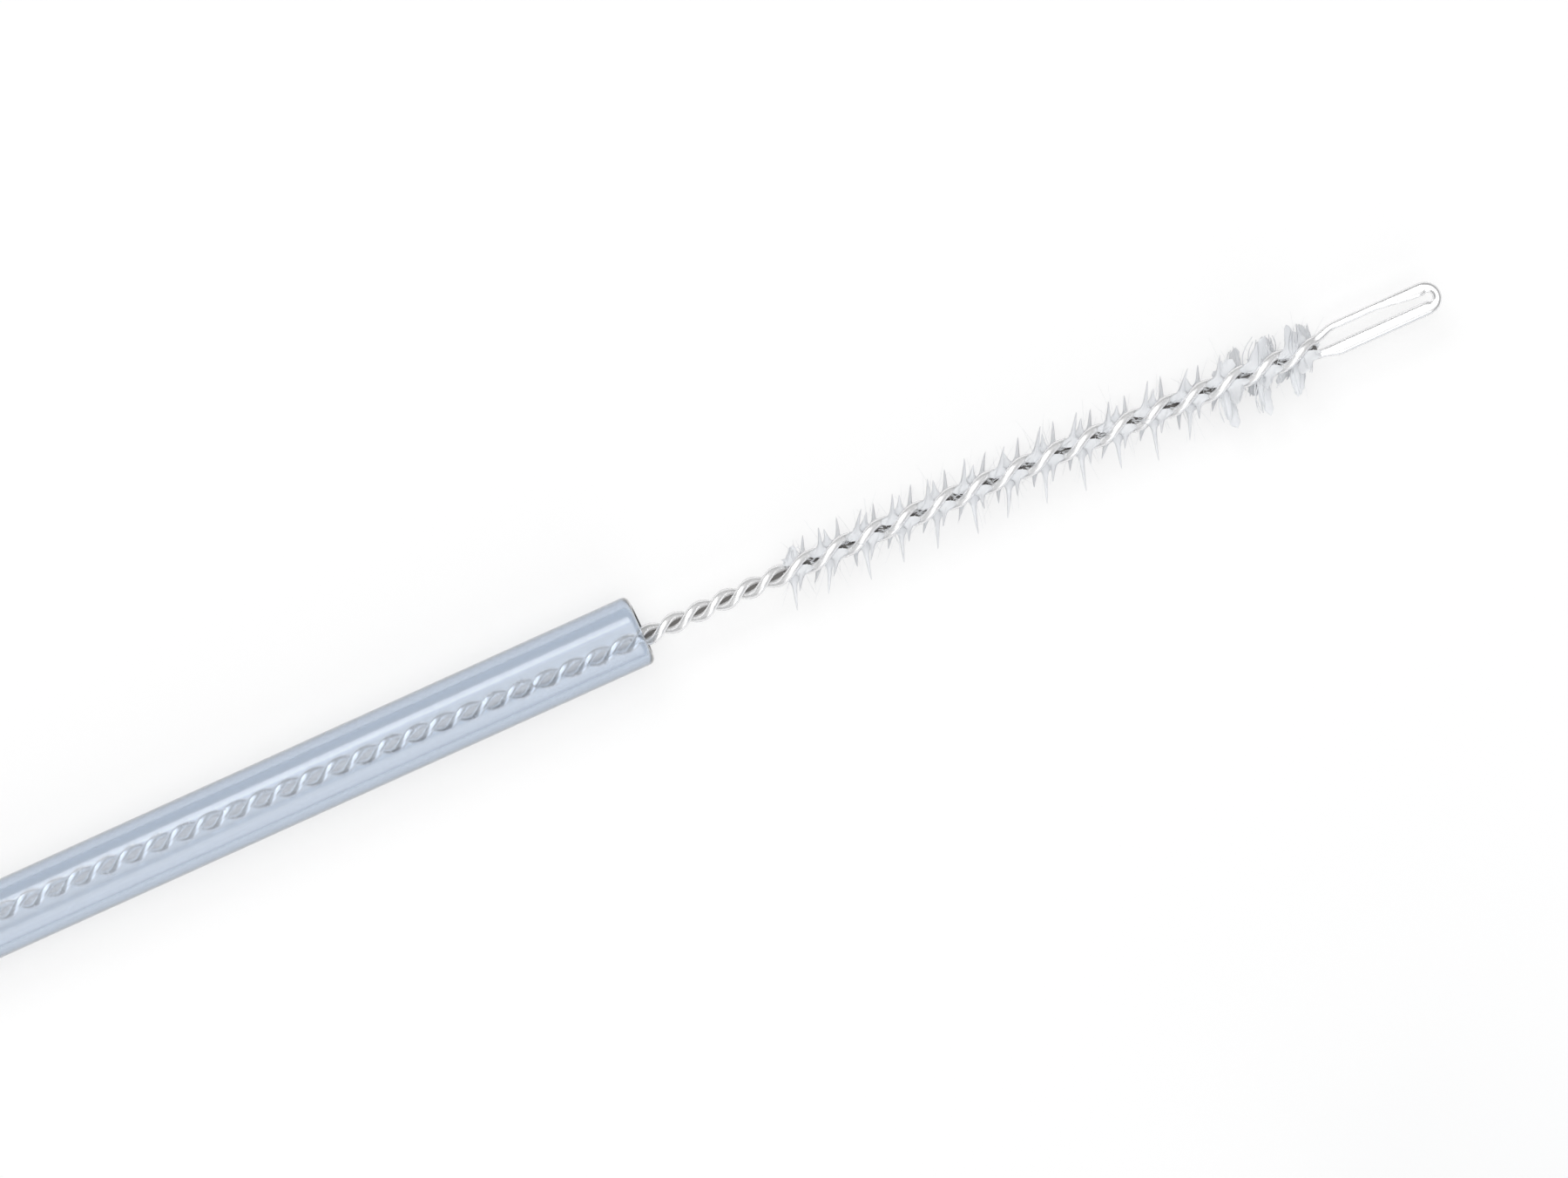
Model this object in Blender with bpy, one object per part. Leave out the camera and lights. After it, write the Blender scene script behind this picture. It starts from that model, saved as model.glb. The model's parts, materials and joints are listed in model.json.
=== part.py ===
"""Cytology brush: a twisted wire brush that a finger handle draws into a long plastic sheath.

Metres, +Z up. The instrument lies on a table at z = 0. The sheath's last stretch is straight and
points along +X to its open mouth, where the brush stands out. The rest of the sheath is put away
in a round coil, which leads to the handle beside it.

Frames: brush pieces are drawn with the sheath's mouth as their origin, +X towards the tip.
Handle pieces are drawn with the front face of the stem's collar as their origin, +X towards the
thumb ring. Both hang from one empty, which puts the origin under the middle of the handle and
the straight stretch.
"""
import math
import random

import bmesh
import bpy
from mathutils import Vector

MM = 0.001

# Sheath
SHEATH_OD = 1.8 * MM
SHEATH_BORE = 1.3 * MM
SHEATH_STRAIGHT = 40.0 * MM
SHEATH_LIP = 0.1 * MM
LIP_SHARE = 0.45
LIP_BEVEL = 0.3
SHEATH_SIDES = 24
COIL_RADIUS = 17.0 * MM
COIL_LANES = 5
COIL_LAYERS = 2
COIL_ROUNDING = 0.8
COIL_SIDES = 36
FACE_GAP = 0.3 * MM
LEAD_GAP = 16.0 * MM
LEAD_STRAIGHT = 2.5 * MM
LEAD_SAG = 0.25 * MM
LEAD_STEPS = 4

# Brush wire: one wire folded in half
STRAND = 0.22 * MM
BARE_GAP = 0.09 * MM
BRISTLE_GAP = 0.14 * MM
BARE_PITCH = 1.38 * MM
BRUSH_PITCH = 1.93 * MM
BRUSH_START = 3.7 * MM
BRUSH_LENGTH = 14.3 * MM
LOOP_LENGTH = 3.35 * MM
LOOP_WIDTH = 0.84 * MM
LEG_SPREAD = 0.6 * MM
PART_RAMP = 0.8 * MM
WIRE_OFFSET = 0.20 * MM
WIRE_BOW = 0.33 * MM
BOW_START = 5.0 * MM
WIRE_TAIL = 3.0 * MM
TAIL_GAP = 0.15 * MM
DRIVE_WEB = 0.04 * MM
TURN_STEPS = 10
DRIVE_STEPS = 8
LEG_STEPS = 5
TIP_STEPS = 8

# Bristle tufts: three in each half turn of the wire
TUFT_GROUPS = 15
TUFT_TURNS = (-0.125, 0.0, 0.125)
TUFT_LEAN = math.radians(20.0)
TUFT_LONG = 1.12 * MM
TUFT_SHORT = 0.62 * MM
TUFT_SIDE_UP = 1.10 * MM
TUFT_SIDE_DOWN = 0.86 * MM
TUFT_SPREAD = 0.12
TUFT_PINCH_GAP = 0.015 * MM
TUFT_THICK = 0.055 * MM
TUFT_WIDE = 0.065 * MM
TUFT_FLARE = 0.13 * MM
TUFT_FLARE_RISE = 0.12 * MM
TUFT_TAPER = 0.65
TUFT_BEND = 0.10 * MM
TUFT_POINT = 0.015 * MM
CLUMP_LENGTH = 2.6 * MM
CLUMP_WIDE = 2.0
CLUMP_POINT = 0.06 * MM

# Handle
HANDLE_OFFSET = 37.0 * MM
HANDLE_HEIGHT = 9.0 * MM
STROKE = 22.5 * MM
COLLAR_WIDTH = 11.0 * MM
COLLAR_LENGTH = 5.0 * MM
COLLAR_CORNER = 2.5 * MM
COLLAR_EDGE = 0.5 * MM
SPIGOT_LENGTH = 5.0 * MM
SPIGOT_RADIUS = 3.0 * MM
SPIGOT_EDGE = 0.3 * MM
SHAFT_WIDTH = 7.0 * MM
SHAFT_HEIGHT = 5.0 * MM
SHAFT_CORNER = 0.8 * MM
SLOT_WIDTH = 2.4 * MM
NECK_LENGTH = 3.0 * MM
NECK_WIDTH = 12.6 * MM
NECK_HEIGHT = 6.8 * MM
RING_WALL = 3.5 * MM
RING_EDGE = 1.2 * MM
RING_SIDES = 36
SPOOL_LENGTH = 18.0 * MM
SPOOL_WIDTH = 26.0 * MM
SPOOL_WAIST = 11.6 * MM
FLANGE = 3.0 * MM
FLANGE_EDGE = 0.7 * MM
FLANGE_FILLET = 3.0 * MM
FLANGE_ROUNDING = 0.75
FILLET_STEPS = 4
WAIST_HEIGHT = 8.2 * MM
END_PLAY = 0.3 * MM
SLIDE_GAP = 0.15 * MM
CLAMP_LENGTH = 8.0 * MM
SCREW_RADIUS = 0.8 * MM
SCREW_POINT = 0.4 * MM
SCREW_CHAMFER = 0.15 * MM
SCREW_SOCKET = 0.4 * MM
SOCKET_DEPTH = 0.9 * MM
SCREW_SPACING = 4.0 * MM
SCREW_SIDES = 12
TUBE_RADIUS = 0.45 * MM
TUBE_GAP = 0.05 * MM
TUBE_FRONT = 25.0 * MM
SEAT_GAP = 0.05 * MM
CAP_LENGTH = 11.8 * MM
CAP_RADIUS = 4.4 * MM
CAP_SHOULDER = 1.0 * MM
CAP_NOSE = 2.8 * MM
CAP_EDGE = 0.3 * MM
CAP_SIDES = 20
RELIEF_LENGTH = 16.0 * MM
RELIEF_ROOT = 1.65 * MM
RELIEF_TIP = 1.25 * MM
RELIEF_RIBS = 5
RIB_DEPTH = 0.25 * MM
RIB_SHAPE = ((0.45, 0.0), (0.55, 1.0), (0.9, 1.0))
RELIEF_WALL = 0.1 * MM
RELIEF_FLANGE = 2.0 * MM
RELIEF_SEAT = 1.9 * MM
RELIEF_SIDES = 14
FERRULE_LENGTH = 2.0 * MM
FERRULE_WALL = 0.6 * MM
GUIDE_LENGTH = 3.0 * MM

# For the meshes: a cutter stands past what it cuts, and a step parts two sections
CUT_PAST = 1.0 * MM
STEP = 0.01 * MM
WELD = 0.001 * MM
CORNER_STEPS = 3
HARD_EDGE = math.radians(35.0)

# Worked out from the sizes above
SHEATH_RADIUS = SHEATH_OD / 2
STRAND_RADIUS = STRAND / 2
BARE_RADIUS = STRAND_RADIUS + BARE_GAP / 2
BRUSH_RADIUS = STRAND_RADIUS + BRISTLE_GAP / 2
LOOP_START = BRUSH_START + BRUSH_LENGTH
LOOP_HALF = (LOOP_WIDTH - STRAND) / 2
TIP_CENTRE = LOOP_START + LOOP_LENGTH - STRAND_RADIUS - LOOP_HALF
COIL_HALF_WIDTH = SHEATH_OD * COIL_LANES / 2
LAYER_RISE = SHEATH_OD * math.sin(math.radians(60))
COIL_HEIGHT = SHEATH_OD + LAYER_RISE * (COIL_LAYERS - 1)
COIL_OUTER = COIL_RADIUS + COIL_HALF_WIDTH
EXIT_LANE = COIL_OUTER - SHEATH_RADIUS
ENTRY_LANE = EXIT_LANE - SHEATH_RADIUS
COIL_CHORD = math.sqrt(COIL_OUTER ** 2 - (EXIT_LANE - SHEATH_RADIUS) ** 2)
LEAD_CHORD = math.sqrt(COIL_OUTER ** 2 - (ENTRY_LANE - SHEATH_RADIUS) ** 2)
COIL_X = -SHEATH_STRAIGHT - FACE_GAP - COIL_CHORD
COIL_Y = -EXIT_LANE
HANDLE_Z = HANDLE_HEIGHT / 2
RING_OUTER = SPOOL_WIDTH / 2
RELIEF_END = -CAP_LENGTH - END_PLAY - RELIEF_LENGTH
HANDLE_X = COIL_X + COIL_CHORD + LEAD_GAP - RELIEF_END
SPOOL_FRONT = COLLAR_LENGTH + END_PLAY
SPOOL_MIDDLE = SPOOL_FRONT + SPOOL_LENGTH / 2
SLOT_FRONT = SPOOL_MIDDLE - CLAMP_LENGTH / 2 - END_PLAY
SLOT_REAR = SPOOL_MIDDLE + CLAMP_LENGTH / 2 + STROKE + END_PLAY
SHAFT_END = SPOOL_FRONT + SPOOL_LENGTH + STROKE + END_PLAY
RING_X = SHAFT_END + NECK_LENGTH / 2 + RING_OUTER
SHEATH_SEAT = -GUIDE_LENGTH
RELIEF_BACK = -SPIGOT_LENGTH - SEAT_GAP

# The origin's place, from the box round the handle and the straight stretch
BOX_LOW_X = -SHEATH_STRAIGHT
BOX_HIGH_X = HANDLE_X + RING_X + RING_OUTER
BOX_LOW_Y = -HANDLE_OFFSET - SPOOL_WIDTH / 2
BOX_HIGH_Y = SHEATH_RADIUS


def finish(name, roughness, colour, metallic=0.0, alpha=1.0):
    """A plain material with one colour."""
    material = bpy.data.materials.new(name)
    material.use_nodes = True
    shader = material.node_tree.nodes["Principled BSDF"]
    shader.inputs["Base Color"].default_value = (*colour, 1.0)
    shader.inputs["Roughness"].default_value = roughness
    shader.inputs["Metallic"].default_value = metallic
    shader.inputs["Alpha"].default_value = alpha
    return material


def empty(name, place, parent=None):
    """A point that pieces hang from."""
    point = bpy.data.objects.new(name, None)
    point.location = place
    point.parent = parent
    bpy.context.collection.objects.link(point)
    return point


def add(name, mesh, material, parent):
    """One named piece, shaded smooth with its hard edges kept."""
    piece = bpy.data.objects.new(name, mesh)
    piece.parent = parent
    bpy.context.collection.objects.link(piece)
    mesh.materials.append(material)
    mesh.shade_smooth()
    mesh.set_sharp_from_angle(angle=HARD_EDGE)
    return piece


def mesh_of(name, bm):
    """The finished mesh, with all its faces pointing out."""
    bmesh.ops.recalc_face_normals(bm, faces=bm.faces)
    mesh = bpy.data.meshes.new(name)
    bm.to_mesh(mesh)
    bm.free()
    return mesh


def loft(name, rings):
    """A solid through rings of points, each ring with the same number, closed at both ends."""
    bm = bmesh.new()
    loops = [[bm.verts.new(point) for point in ring] for ring in rings]
    count = len(loops[0])
    for near, far in zip(loops, loops[1:]):
        for i in range(count):
            j = (i + 1) % count
            bm.faces.new((near[i], near[j], far[j], far[i]))
    bm.faces.new(loops[0])
    bm.faces.new(loops[-1])
    return mesh_of(name, bm)


def turned(name, profile, sides, axis="X"):
    """A closed profile of (along, radius) points spun round the X or the Z axis."""
    bm = bmesh.new()
    if axis == "X":
        points = [Vector((along, radius, 0.0)) for along, radius in profile]
        direction = (1.0, 0.0, 0.0)
    else:
        points = [Vector((radius, 0.0, along)) for along, radius in profile]
        direction = (0.0, 0.0, 1.0)
    corners = [bm.verts.new(point) for point in points]
    edges = [bm.edges.new(pair) for pair in zip(corners, corners[1:] + corners[:1])]
    bmesh.ops.spin(
        bm,
        geom=corners + edges,
        cent=(0.0, 0.0, 0.0),
        axis=direction,
        angle=math.tau,
        steps=sides,
        use_merge=True,
    )
    bmesh.ops.remove_doubles(bm, verts=bm.verts, dist=WELD)
    return mesh_of(name, bm)


def rod(name, profile, sides, axis="X"):
    """A solid turned piece: rings of (along, radius), closed by a flat face at each end."""
    rings = []
    for along, radius in profile:
        ring = []
        for i in range(sides):
            turn = math.tau * i / sides
            across, up = radius * math.cos(turn), radius * math.sin(turn)
            ring.append((along, across, up) if axis == "X" else (across, up, along))
        rings.append(ring)
    return loft(name, rings)


def rounded_ring(x, half_width, half_height, corner):
    """A rectangle with round corners, standing across the X axis."""
    points = []
    for quarter, (side, rise) in enumerate(((1, 1), (-1, 1), (-1, -1), (1, -1))):
        for step in range(CORNER_STEPS + 1):
            turn = math.radians(90 * (quarter + step / CORNER_STEPS))
            points.append((
                x,
                side * (half_width - corner) + corner * math.cos(turn),
                rise * (half_height - corner) + corner * math.sin(turn),
            ))
    return points


def box(name, low, high):
    """A plain block between two corners."""
    bm = bmesh.new()
    middle = [(a + b) / 2 for a, b in zip(low, high)]
    size = [b - a for a, b in zip(low, high)]
    bmesh.ops.create_cube(bm, size=1.0)
    bmesh.ops.scale(bm, vec=size, verts=bm.verts)
    bmesh.ops.translate(bm, vec=middle, verts=bm.verts)
    return mesh_of(name, bm)


def tool(name, mesh, parent):
    """A hidden shape that a Boolean uses."""
    shape = bpy.data.objects.new(name, mesh)
    shape.parent = parent
    shape.hide_render = True
    shape.display_type = "WIRE"
    bpy.context.collection.objects.link(shape)
    return shape


def combine(piece, other, operation):
    """Joins the other shape to the piece, or cuts it away."""
    modifier = piece.modifiers.new(other.name, "BOOLEAN")
    modifier.operation = operation
    modifier.solver = "EXACT"
    modifier.object = other


def smooth_step(value):
    """0 below 0, 1 above 1, and a smooth rise between."""
    value = min(max(value, 0.0), 1.0)
    return value * value * (3 - 2 * value)


def wire_side(x):
    """How far the wire's middle lies to the side of the sheath's axis."""
    along = min(max((x - BOW_START) / (LOOP_START - BOW_START), 0.0), 1.0)
    return -WIRE_OFFSET - WIRE_BOW * along ** 2


def twist_angle(x):
    """The first strand's angle round the wire, from +Y towards +Z. The twist is left-handed."""
    brush_turns = (LOOP_START - max(x, BRUSH_START)) / BRUSH_PITCH
    bare_turns = max(BRUSH_START - x, 0.0) / BARE_PITCH
    return math.tau * (brush_turns + bare_turns)


def twist_radius(x):
    """From the wire's middle to a strand's middle: wider where bristles part the strands."""
    share = smooth_step((x - BRUSH_START + PART_RAMP / 2) / PART_RAMP)
    return BARE_RADIUS + (BRUSH_RADIUS - BARE_RADIUS) * share


def strand_point(x, half_turn):
    """The middle of one strand, in the twisted stretch."""
    angle = twist_angle(x) + math.pi * half_turn
    radius = twist_radius(x)
    return Vector((x, wire_side(x) + radius * math.cos(angle), radius * math.sin(angle)))


def leg_point(x, side):
    """The middle of one leg of the loop, which lies flat on one side of the slot."""
    share = smooth_step((x - LOOP_START) / LEG_SPREAD)
    return Vector((x, wire_side(x) + side * (BRUSH_RADIUS + (LOOP_HALF - BRUSH_RADIUS) * share), 0))


def folded_wire_path():
    """Up one strand, round the loop and back down the other strand."""
    twisted = []
    x = -WIRE_TAIL
    while x < LOOP_START - BARE_PITCH / TURN_STEPS / 2:
        twisted.append(x)
        x += (BARE_PITCH if x < BRUSH_START else BRUSH_PITCH) / TURN_STEPS
    spread = [LOOP_START + LEG_SPREAD * i / LEG_STEPS for i in range(LEG_STEPS + 1)]
    tip = []
    for i in range(TIP_STEPS + 1):
        turn = math.pi * (0.5 - i / TIP_STEPS)
        reach = LOOP_HALF * math.cos(turn)
        tip.append(Vector((TIP_CENTRE + reach, wire_side(TIP_CENTRE) + LOOP_HALF * math.sin(turn), 0)))
    path = [strand_point(x, 0) for x in twisted]
    path += [leg_point(x, 1) for x in spread]
    path += tip
    path += [leg_point(x, -1) for x in reversed(spread)]
    path += [strand_point(x, 1) for x in reversed(twisted)]
    return path


def wire(name, path, diameter, resolution, material, parent):
    """A round wire or cord along a path, with closed ends."""
    curve = bpy.data.curves.new(name, "CURVE")
    curve.dimensions = "3D"
    curve.bevel_depth = diameter / 2
    curve.bevel_resolution = resolution
    curve.use_fill_caps = True
    spline = curve.splines.new("POLY")
    spline.points.add(len(path) - 1)
    for point, place in zip(spline.points, path):
        point.co = (*place, 1.0)
    curve.materials.append(material)
    piece = bpy.data.objects.new(name, curve)
    piece.parent = parent
    bpy.context.collection.objects.link(piece)
    return piece


def drive_wire_mesh():
    """The twisted pair inside the sheath, as one solid with a section like a figure eight."""
    outline = []
    for lobe in (1, -1):
        for turn in (-60, 0, 60):
            across = BARE_RADIUS + STRAND_RADIUS * math.cos(math.radians(turn))
            outline.append((lobe * across, lobe * STRAND_RADIUS * math.sin(math.radians(turn))))
        outline.append((0.0, lobe * DRIVE_WEB))
    rear, front = -SHEATH_STRAIGHT, -WIRE_TAIL - TAIL_GAP
    steps = round((front - rear) / BARE_PITCH * DRIVE_STEPS)
    rings = []
    for i in range(steps + 1):
        x = rear + (front - rear) * i / steps
        cosine, sine = math.cos(twist_angle(x)), math.sin(twist_angle(x))
        rings.append([
            (x, wire_side(x) + across * cosine - up * sine, across * sine + up * cosine)
            for across, up in outline
        ])
    return loft("drive_wire", rings)


def tuft_mesh(name, x, reach_up, reach_down, bend, wide):
    """One bundle of bristles, pinched between the strands and tapering to a point on each side."""
    angle = twist_angle(x) + math.pi / 2
    if math.cos(angle) < 0:
        angle += math.pi
    upright = math.cos(TUFT_LEAN)
    out = Vector((math.sin(TUFT_LEAN), upright * math.cos(angle), upright * math.sin(angle)))
    flat = Vector((0.0, -math.sin(angle), math.cos(angle)))
    along = out.cross(flat)
    middle = Vector((x, wire_side(x), 0.0))
    pinched = BRISTLE_GAP / 2 - TUFT_PINCH_GAP
    root = BRUSH_RADIUS + STRAND_RADIUS
    flared = root + TUFT_FLARE_RISE
    point = CLUMP_POINT if wide > 1 else TUFT_POINT
    rings = []
    for side, reach in ((-1, reach_down), (1, reach_up)):
        body = (flared + reach) / 2
        half = [
            (STRAND_RADIUS, pinched, TUFT_WIDE),
            (root, TUFT_THICK, TUFT_FLARE * wide),
            (flared, TUFT_THICK, TUFT_WIDE * wide),
            (body, TUFT_THICK * TUFT_TAPER, TUFT_WIDE * wide * TUFT_TAPER),
            (reach, TUFT_POINT, point),
        ]
        if side < 0:
            half.reverse()
        for distance, thick, width in half:
            sag = bend * (distance / reach) ** 2
            centre = middle + out * (side * distance) + along * sag
            rings.append([
                centre + flat * thick, centre + along * width,
                centre - flat * thick, centre - along * width,
            ])
    return loft(name, rings)


def tufts(material, parent):
    """Three bundles in each half turn: one flat in the view, one leaning out on each side of it."""
    chance = random.Random(7)
    number = 0
    half_turn = BRUSH_PITCH / 2
    for group in range(TUFT_GROUPS):
        middle = LOOP_START - BRUSH_PITCH / 4 - half_turn * (TUFT_GROUPS - 1 - group)
        for turn in TUFT_TURNS:
            x = middle + BRUSH_PITCH * turn
            if x < BRUSH_START + STRAND_RADIUS:
                continue
            number += 1
            up, down = (TUFT_SHORT, TUFT_LONG) if turn == 0 else (TUFT_SIDE_UP, TUFT_SIDE_DOWN)
            up *= 1 + chance.uniform(-TUFT_SPREAD, TUFT_SPREAD / 2)
            down *= 1 + chance.uniform(-TUFT_SPREAD, TUFT_SPREAD / 2)
            bend = chance.uniform(-1, 1) * TUFT_BEND
            wide = CLUMP_WIDE if x > LOOP_START - CLUMP_LENGTH else 1
            name = f"tuft_{number:02d}"
            add(name, tuft_mesh(name, x, up, down, bend, wide), material, parent)


def tube_profile(front, rear, outer, bore, lip):
    """A tube's wall as a closed profile, its front edge rounded."""
    lip = min(lip, (outer - bore) * LIP_SHARE)
    bevel = lip * LIP_BEVEL
    return [
        (rear, outer), (rear, bore), (front - lip, bore), (front, bore + lip),
        (front, outer - lip), (front - bevel, outer - bevel), (front - lip, outer),
    ]


def coil_mesh():
    """The outer shape of the coiled sheath, as one turned ring."""
    corner = SHEATH_RADIUS * COIL_ROUNDING
    low, high = 0.0, COIL_HEIGHT
    inner, outer = COIL_RADIUS - COIL_HALF_WIDTH, COIL_RADIUS + COIL_HALF_WIDTH
    profile = [
        (low, inner + corner), (low + corner, inner), (high - corner, inner),
        (high, inner + corner), (high, outer - corner), (high - corner, outer),
        (low + corner, outer), (low, outer - corner),
    ]
    return turned("sheath_coil", profile, COIL_SIDES, axis="Z")


def lead_path():
    """The sheath's run from the strain relief to the coil's upper layer, where it sags a little."""
    start = Vector((HANDLE_X + RELIEF_END - FACE_GAP, -HANDLE_OFFSET, HANDLE_Z))
    end = Vector((
        COIL_X + LEAD_CHORD + FACE_GAP,
        COIL_Y - ENTRY_LANE,
        SHEATH_RADIUS + LAYER_RISE * (COIL_LAYERS - 1),
    ))
    straight = Vector((LEAD_STRAIGHT, 0.0, 0.0))
    middle = (start + end) / 2 - Vector((0.0, 0.0, LEAD_SAG))
    route = [start, start - straight, middle, end + straight, end]
    curve = [route[0]] + route + [route[-1]]
    path = []
    for a, b, c, d in zip(curve, curve[1:], curve[2:], curve[3:]):
        for step in range(LEAD_STEPS):
            t = step / LEAD_STEPS
            path.append(0.5 * (
                2 * b
                + (c - a) * t
                + (2 * a - 5 * b + 4 * c - d) * t ** 2
                + (3 * b - a - 3 * c + d) * t ** 3
            ))
    return path + [end]


def stem(material, parent):
    """Thumb ring, slotted shaft, collar and hollow spigot, moulded as one piece."""
    half = HANDLE_Z
    collar = COLLAR_WIDTH / 2
    inner_corner = COLLAR_CORNER - COLLAR_EDGE
    shaft = [
        rounded_ring(0.0, collar - COLLAR_EDGE, half - COLLAR_EDGE, inner_corner),
        rounded_ring(COLLAR_EDGE, collar, half, COLLAR_CORNER),
        rounded_ring(COLLAR_LENGTH - COLLAR_EDGE, collar, half, COLLAR_CORNER),
        rounded_ring(COLLAR_LENGTH, collar - COLLAR_EDGE, half - COLLAR_EDGE, inner_corner),
        rounded_ring(COLLAR_LENGTH + STEP, SHAFT_WIDTH / 2, SHAFT_HEIGHT / 2, SHAFT_CORNER),
        rounded_ring(SHAFT_END, SHAFT_WIDTH / 2, SHAFT_HEIGHT / 2, SHAFT_CORNER),
        rounded_ring(SHAFT_END + NECK_LENGTH, NECK_WIDTH / 2, NECK_HEIGHT / 2, SHAFT_CORNER),
    ]
    piece = add("handle_stem", loft("handle_stem", shaft), material, parent)
    inner, low, high = RING_OUTER - RING_WALL, -half, half
    section = [
        (low, inner + RING_EDGE), (low + RING_EDGE, inner), (high - RING_EDGE, inner),
        (high, inner + RING_EDGE), (high, RING_OUTER - RING_EDGE), (high - RING_EDGE, RING_OUTER),
        (low + RING_EDGE, RING_OUTER), (low, RING_OUTER - RING_EDGE),
    ]
    ring_mesh = turned("thumb_ring_shape", section, RING_SIDES, axis="Z")
    ring = tool("thumb_ring_shape", ring_mesh, parent)
    ring.location = (RING_X, 0.0, 0.0)
    spigot = [
        (-SPIGOT_LENGTH, SPIGOT_RADIUS - SPIGOT_EDGE),
        (-SPIGOT_LENGTH + SPIGOT_EDGE, SPIGOT_RADIUS),
        (COLLAR_LENGTH / 2, SPIGOT_RADIUS),
    ]
    spigot_mesh = rod("spigot_shape", spigot, CAP_SIDES)
    combine(piece, ring, "UNION")
    combine(piece, tool("spigot_shape", spigot_mesh, parent), "UNION")
    slot = box(
        "slot_cut", (SLOT_FRONT, -SLOT_WIDTH / 2, -half), (SLOT_REAR, SLOT_WIDTH / 2, half)
    )
    combine(piece, tool("slot_cut", slot, parent), "DIFFERENCE")
    guide_radius = TUBE_RADIUS + TUBE_GAP * 2
    seat_radius = SHEATH_RADIUS + FERRULE_WALL + SEAT_GAP * 2
    bores = [
        (-SPIGOT_LENGTH - CUT_PAST, seat_radius),
        (SHEATH_SEAT, seat_radius),
        (SHEATH_SEAT + STEP, guide_radius),
        (SLOT_FRONT + CUT_PAST, guide_radius),
    ]
    bore_mesh = rod("stem_bore", bores, SCREW_SIDES)
    combine(piece, tool("stem_bore", bore_mesh, parent), "DIFFERENCE")
    return piece


def spool_sections():
    """Rings of the finger spool from its front face to its rear face."""
    half_width, waist = SPOOL_WIDTH / 2, SPOOL_WAIST / 2
    high, low = HANDLE_Z, WAIST_HEIGHT / 2
    fillet_top = high - FLANGE_EDGE / 2
    front = [(0.0, half_width - FLANGE_EDGE, high - FLANGE_EDGE)]
    front += [(FLANGE_EDGE, half_width, high), (FLANGE - FLANGE_EDGE, half_width, high)]
    for step in range(FILLET_STEPS + 1):
        turn = math.radians(90 * step / FILLET_STEPS)
        x = FLANGE + FLANGE_FILLET * (1 - math.cos(turn))
        rise = 1 - math.sin(turn)
        width = waist + (half_width - FLANGE_EDGE - waist) * rise
        front.append((x, width, low + (fillet_top - low) * rise))
    rear = [(SPOOL_LENGTH - x, width, height) for x, width, height in reversed(front)]
    return [
        rounded_ring(x, width, height, height * FLANGE_ROUNDING)
        for x, width, height in front + rear
    ]


def spool(material, parent):
    """The spool that two fingers slide along the shaft."""
    piece = add("finger_spool", loft("finger_spool", spool_sections()), material, parent)
    piece.location = (SPOOL_FRONT, 0.0, 0.0)
    width, height = SHAFT_WIDTH / 2 + SLIDE_GAP, SHAFT_HEIGHT / 2 + SLIDE_GAP
    passage = loft("spool_passage", [
        rounded_ring(-CUT_PAST, width, height, SHAFT_CORNER),
        rounded_ring(SPOOL_LENGTH + CUT_PAST, width, height, SHAFT_CORNER),
    ])
    cutter = tool("spool_passage", passage, parent)
    cutter.location = piece.location
    combine(piece, cutter, "DIFFERENCE")
    return piece


def screw_places():
    """Where the two grub screws stand along the handle."""
    return (SPOOL_MIDDLE - SCREW_SPACING / 2, SPOOL_MIDDLE + SCREW_SPACING / 2)


def clamp_parts(materials, parent, spool_piece):
    """The block in the slot, its two grub screws and the drive tube that they hold."""
    half_height = SHAFT_HEIGHT / 2 + SLIDE_GAP - SEAT_GAP
    half_width = SLOT_WIDTH / 2 - SLIDE_GAP
    block = box(
        "wire_clamp",
        (SPOOL_MIDDLE - CLAMP_LENGTH / 2, -half_width, -half_height),
        (SPOOL_MIDDLE + CLAMP_LENGTH / 2, half_width, half_height),
    )
    block = add("wire_clamp", block, materials["brass"], parent)
    bore_end = SPOOL_MIDDLE + CLAMP_LENGTH / 2 - TUBE_RADIUS
    bore_radius = TUBE_RADIUS + TUBE_GAP
    bore = rod("clamp_bore", [(SLOT_FRONT, bore_radius), (bore_end, bore_radius)], SCREW_SIDES)
    combine(block, tool("clamp_bore", bore, parent), "DIFFERENCE")
    top, bottom = WAIST_HEIGHT / 2 - SEAT_GAP, TUBE_RADIUS + SEAT_GAP / 2
    hole = [(0.0, SCREW_RADIUS + SEAT_GAP), (HANDLE_HEIGHT, SCREW_RADIUS + SEAT_GAP)]
    shank = [
        (bottom, SCREW_POINT),
        (bottom + SCREW_RADIUS - SCREW_POINT, SCREW_RADIUS),
        (top - SCREW_CHAMFER, SCREW_RADIUS),
        (top, SCREW_RADIUS - SCREW_CHAMFER),
        (top, SCREW_SOCKET),
        (top - SOCKET_DEPTH, SCREW_SOCKET),
    ]
    for end, x in zip(("front", "rear"), screw_places()):
        name = f"screw_hole_{end}"
        cutter = tool(name, rod(name, hole, SCREW_SIDES, axis="Z"), parent)
        cutter.location = (x, 0.0, 0.0)
        combine(spool_piece, cutter, "DIFFERENCE")
        combine(block, cutter, "DIFFERENCE")
        name = f"clamp_screw_{end}"
        screw = add(name, rod(name, shank, SCREW_SIDES, axis="Z"), materials["steel"], parent)
        screw.location = (x, 0.0, 0.0)
    tube = [(-TUBE_FRONT, TUBE_RADIUS), (bore_end - SEAT_GAP, TUBE_RADIUS)]
    add("drive_tube", rod("drive_tube", tube, SCREW_SIDES), materials["steel"], parent)


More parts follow.
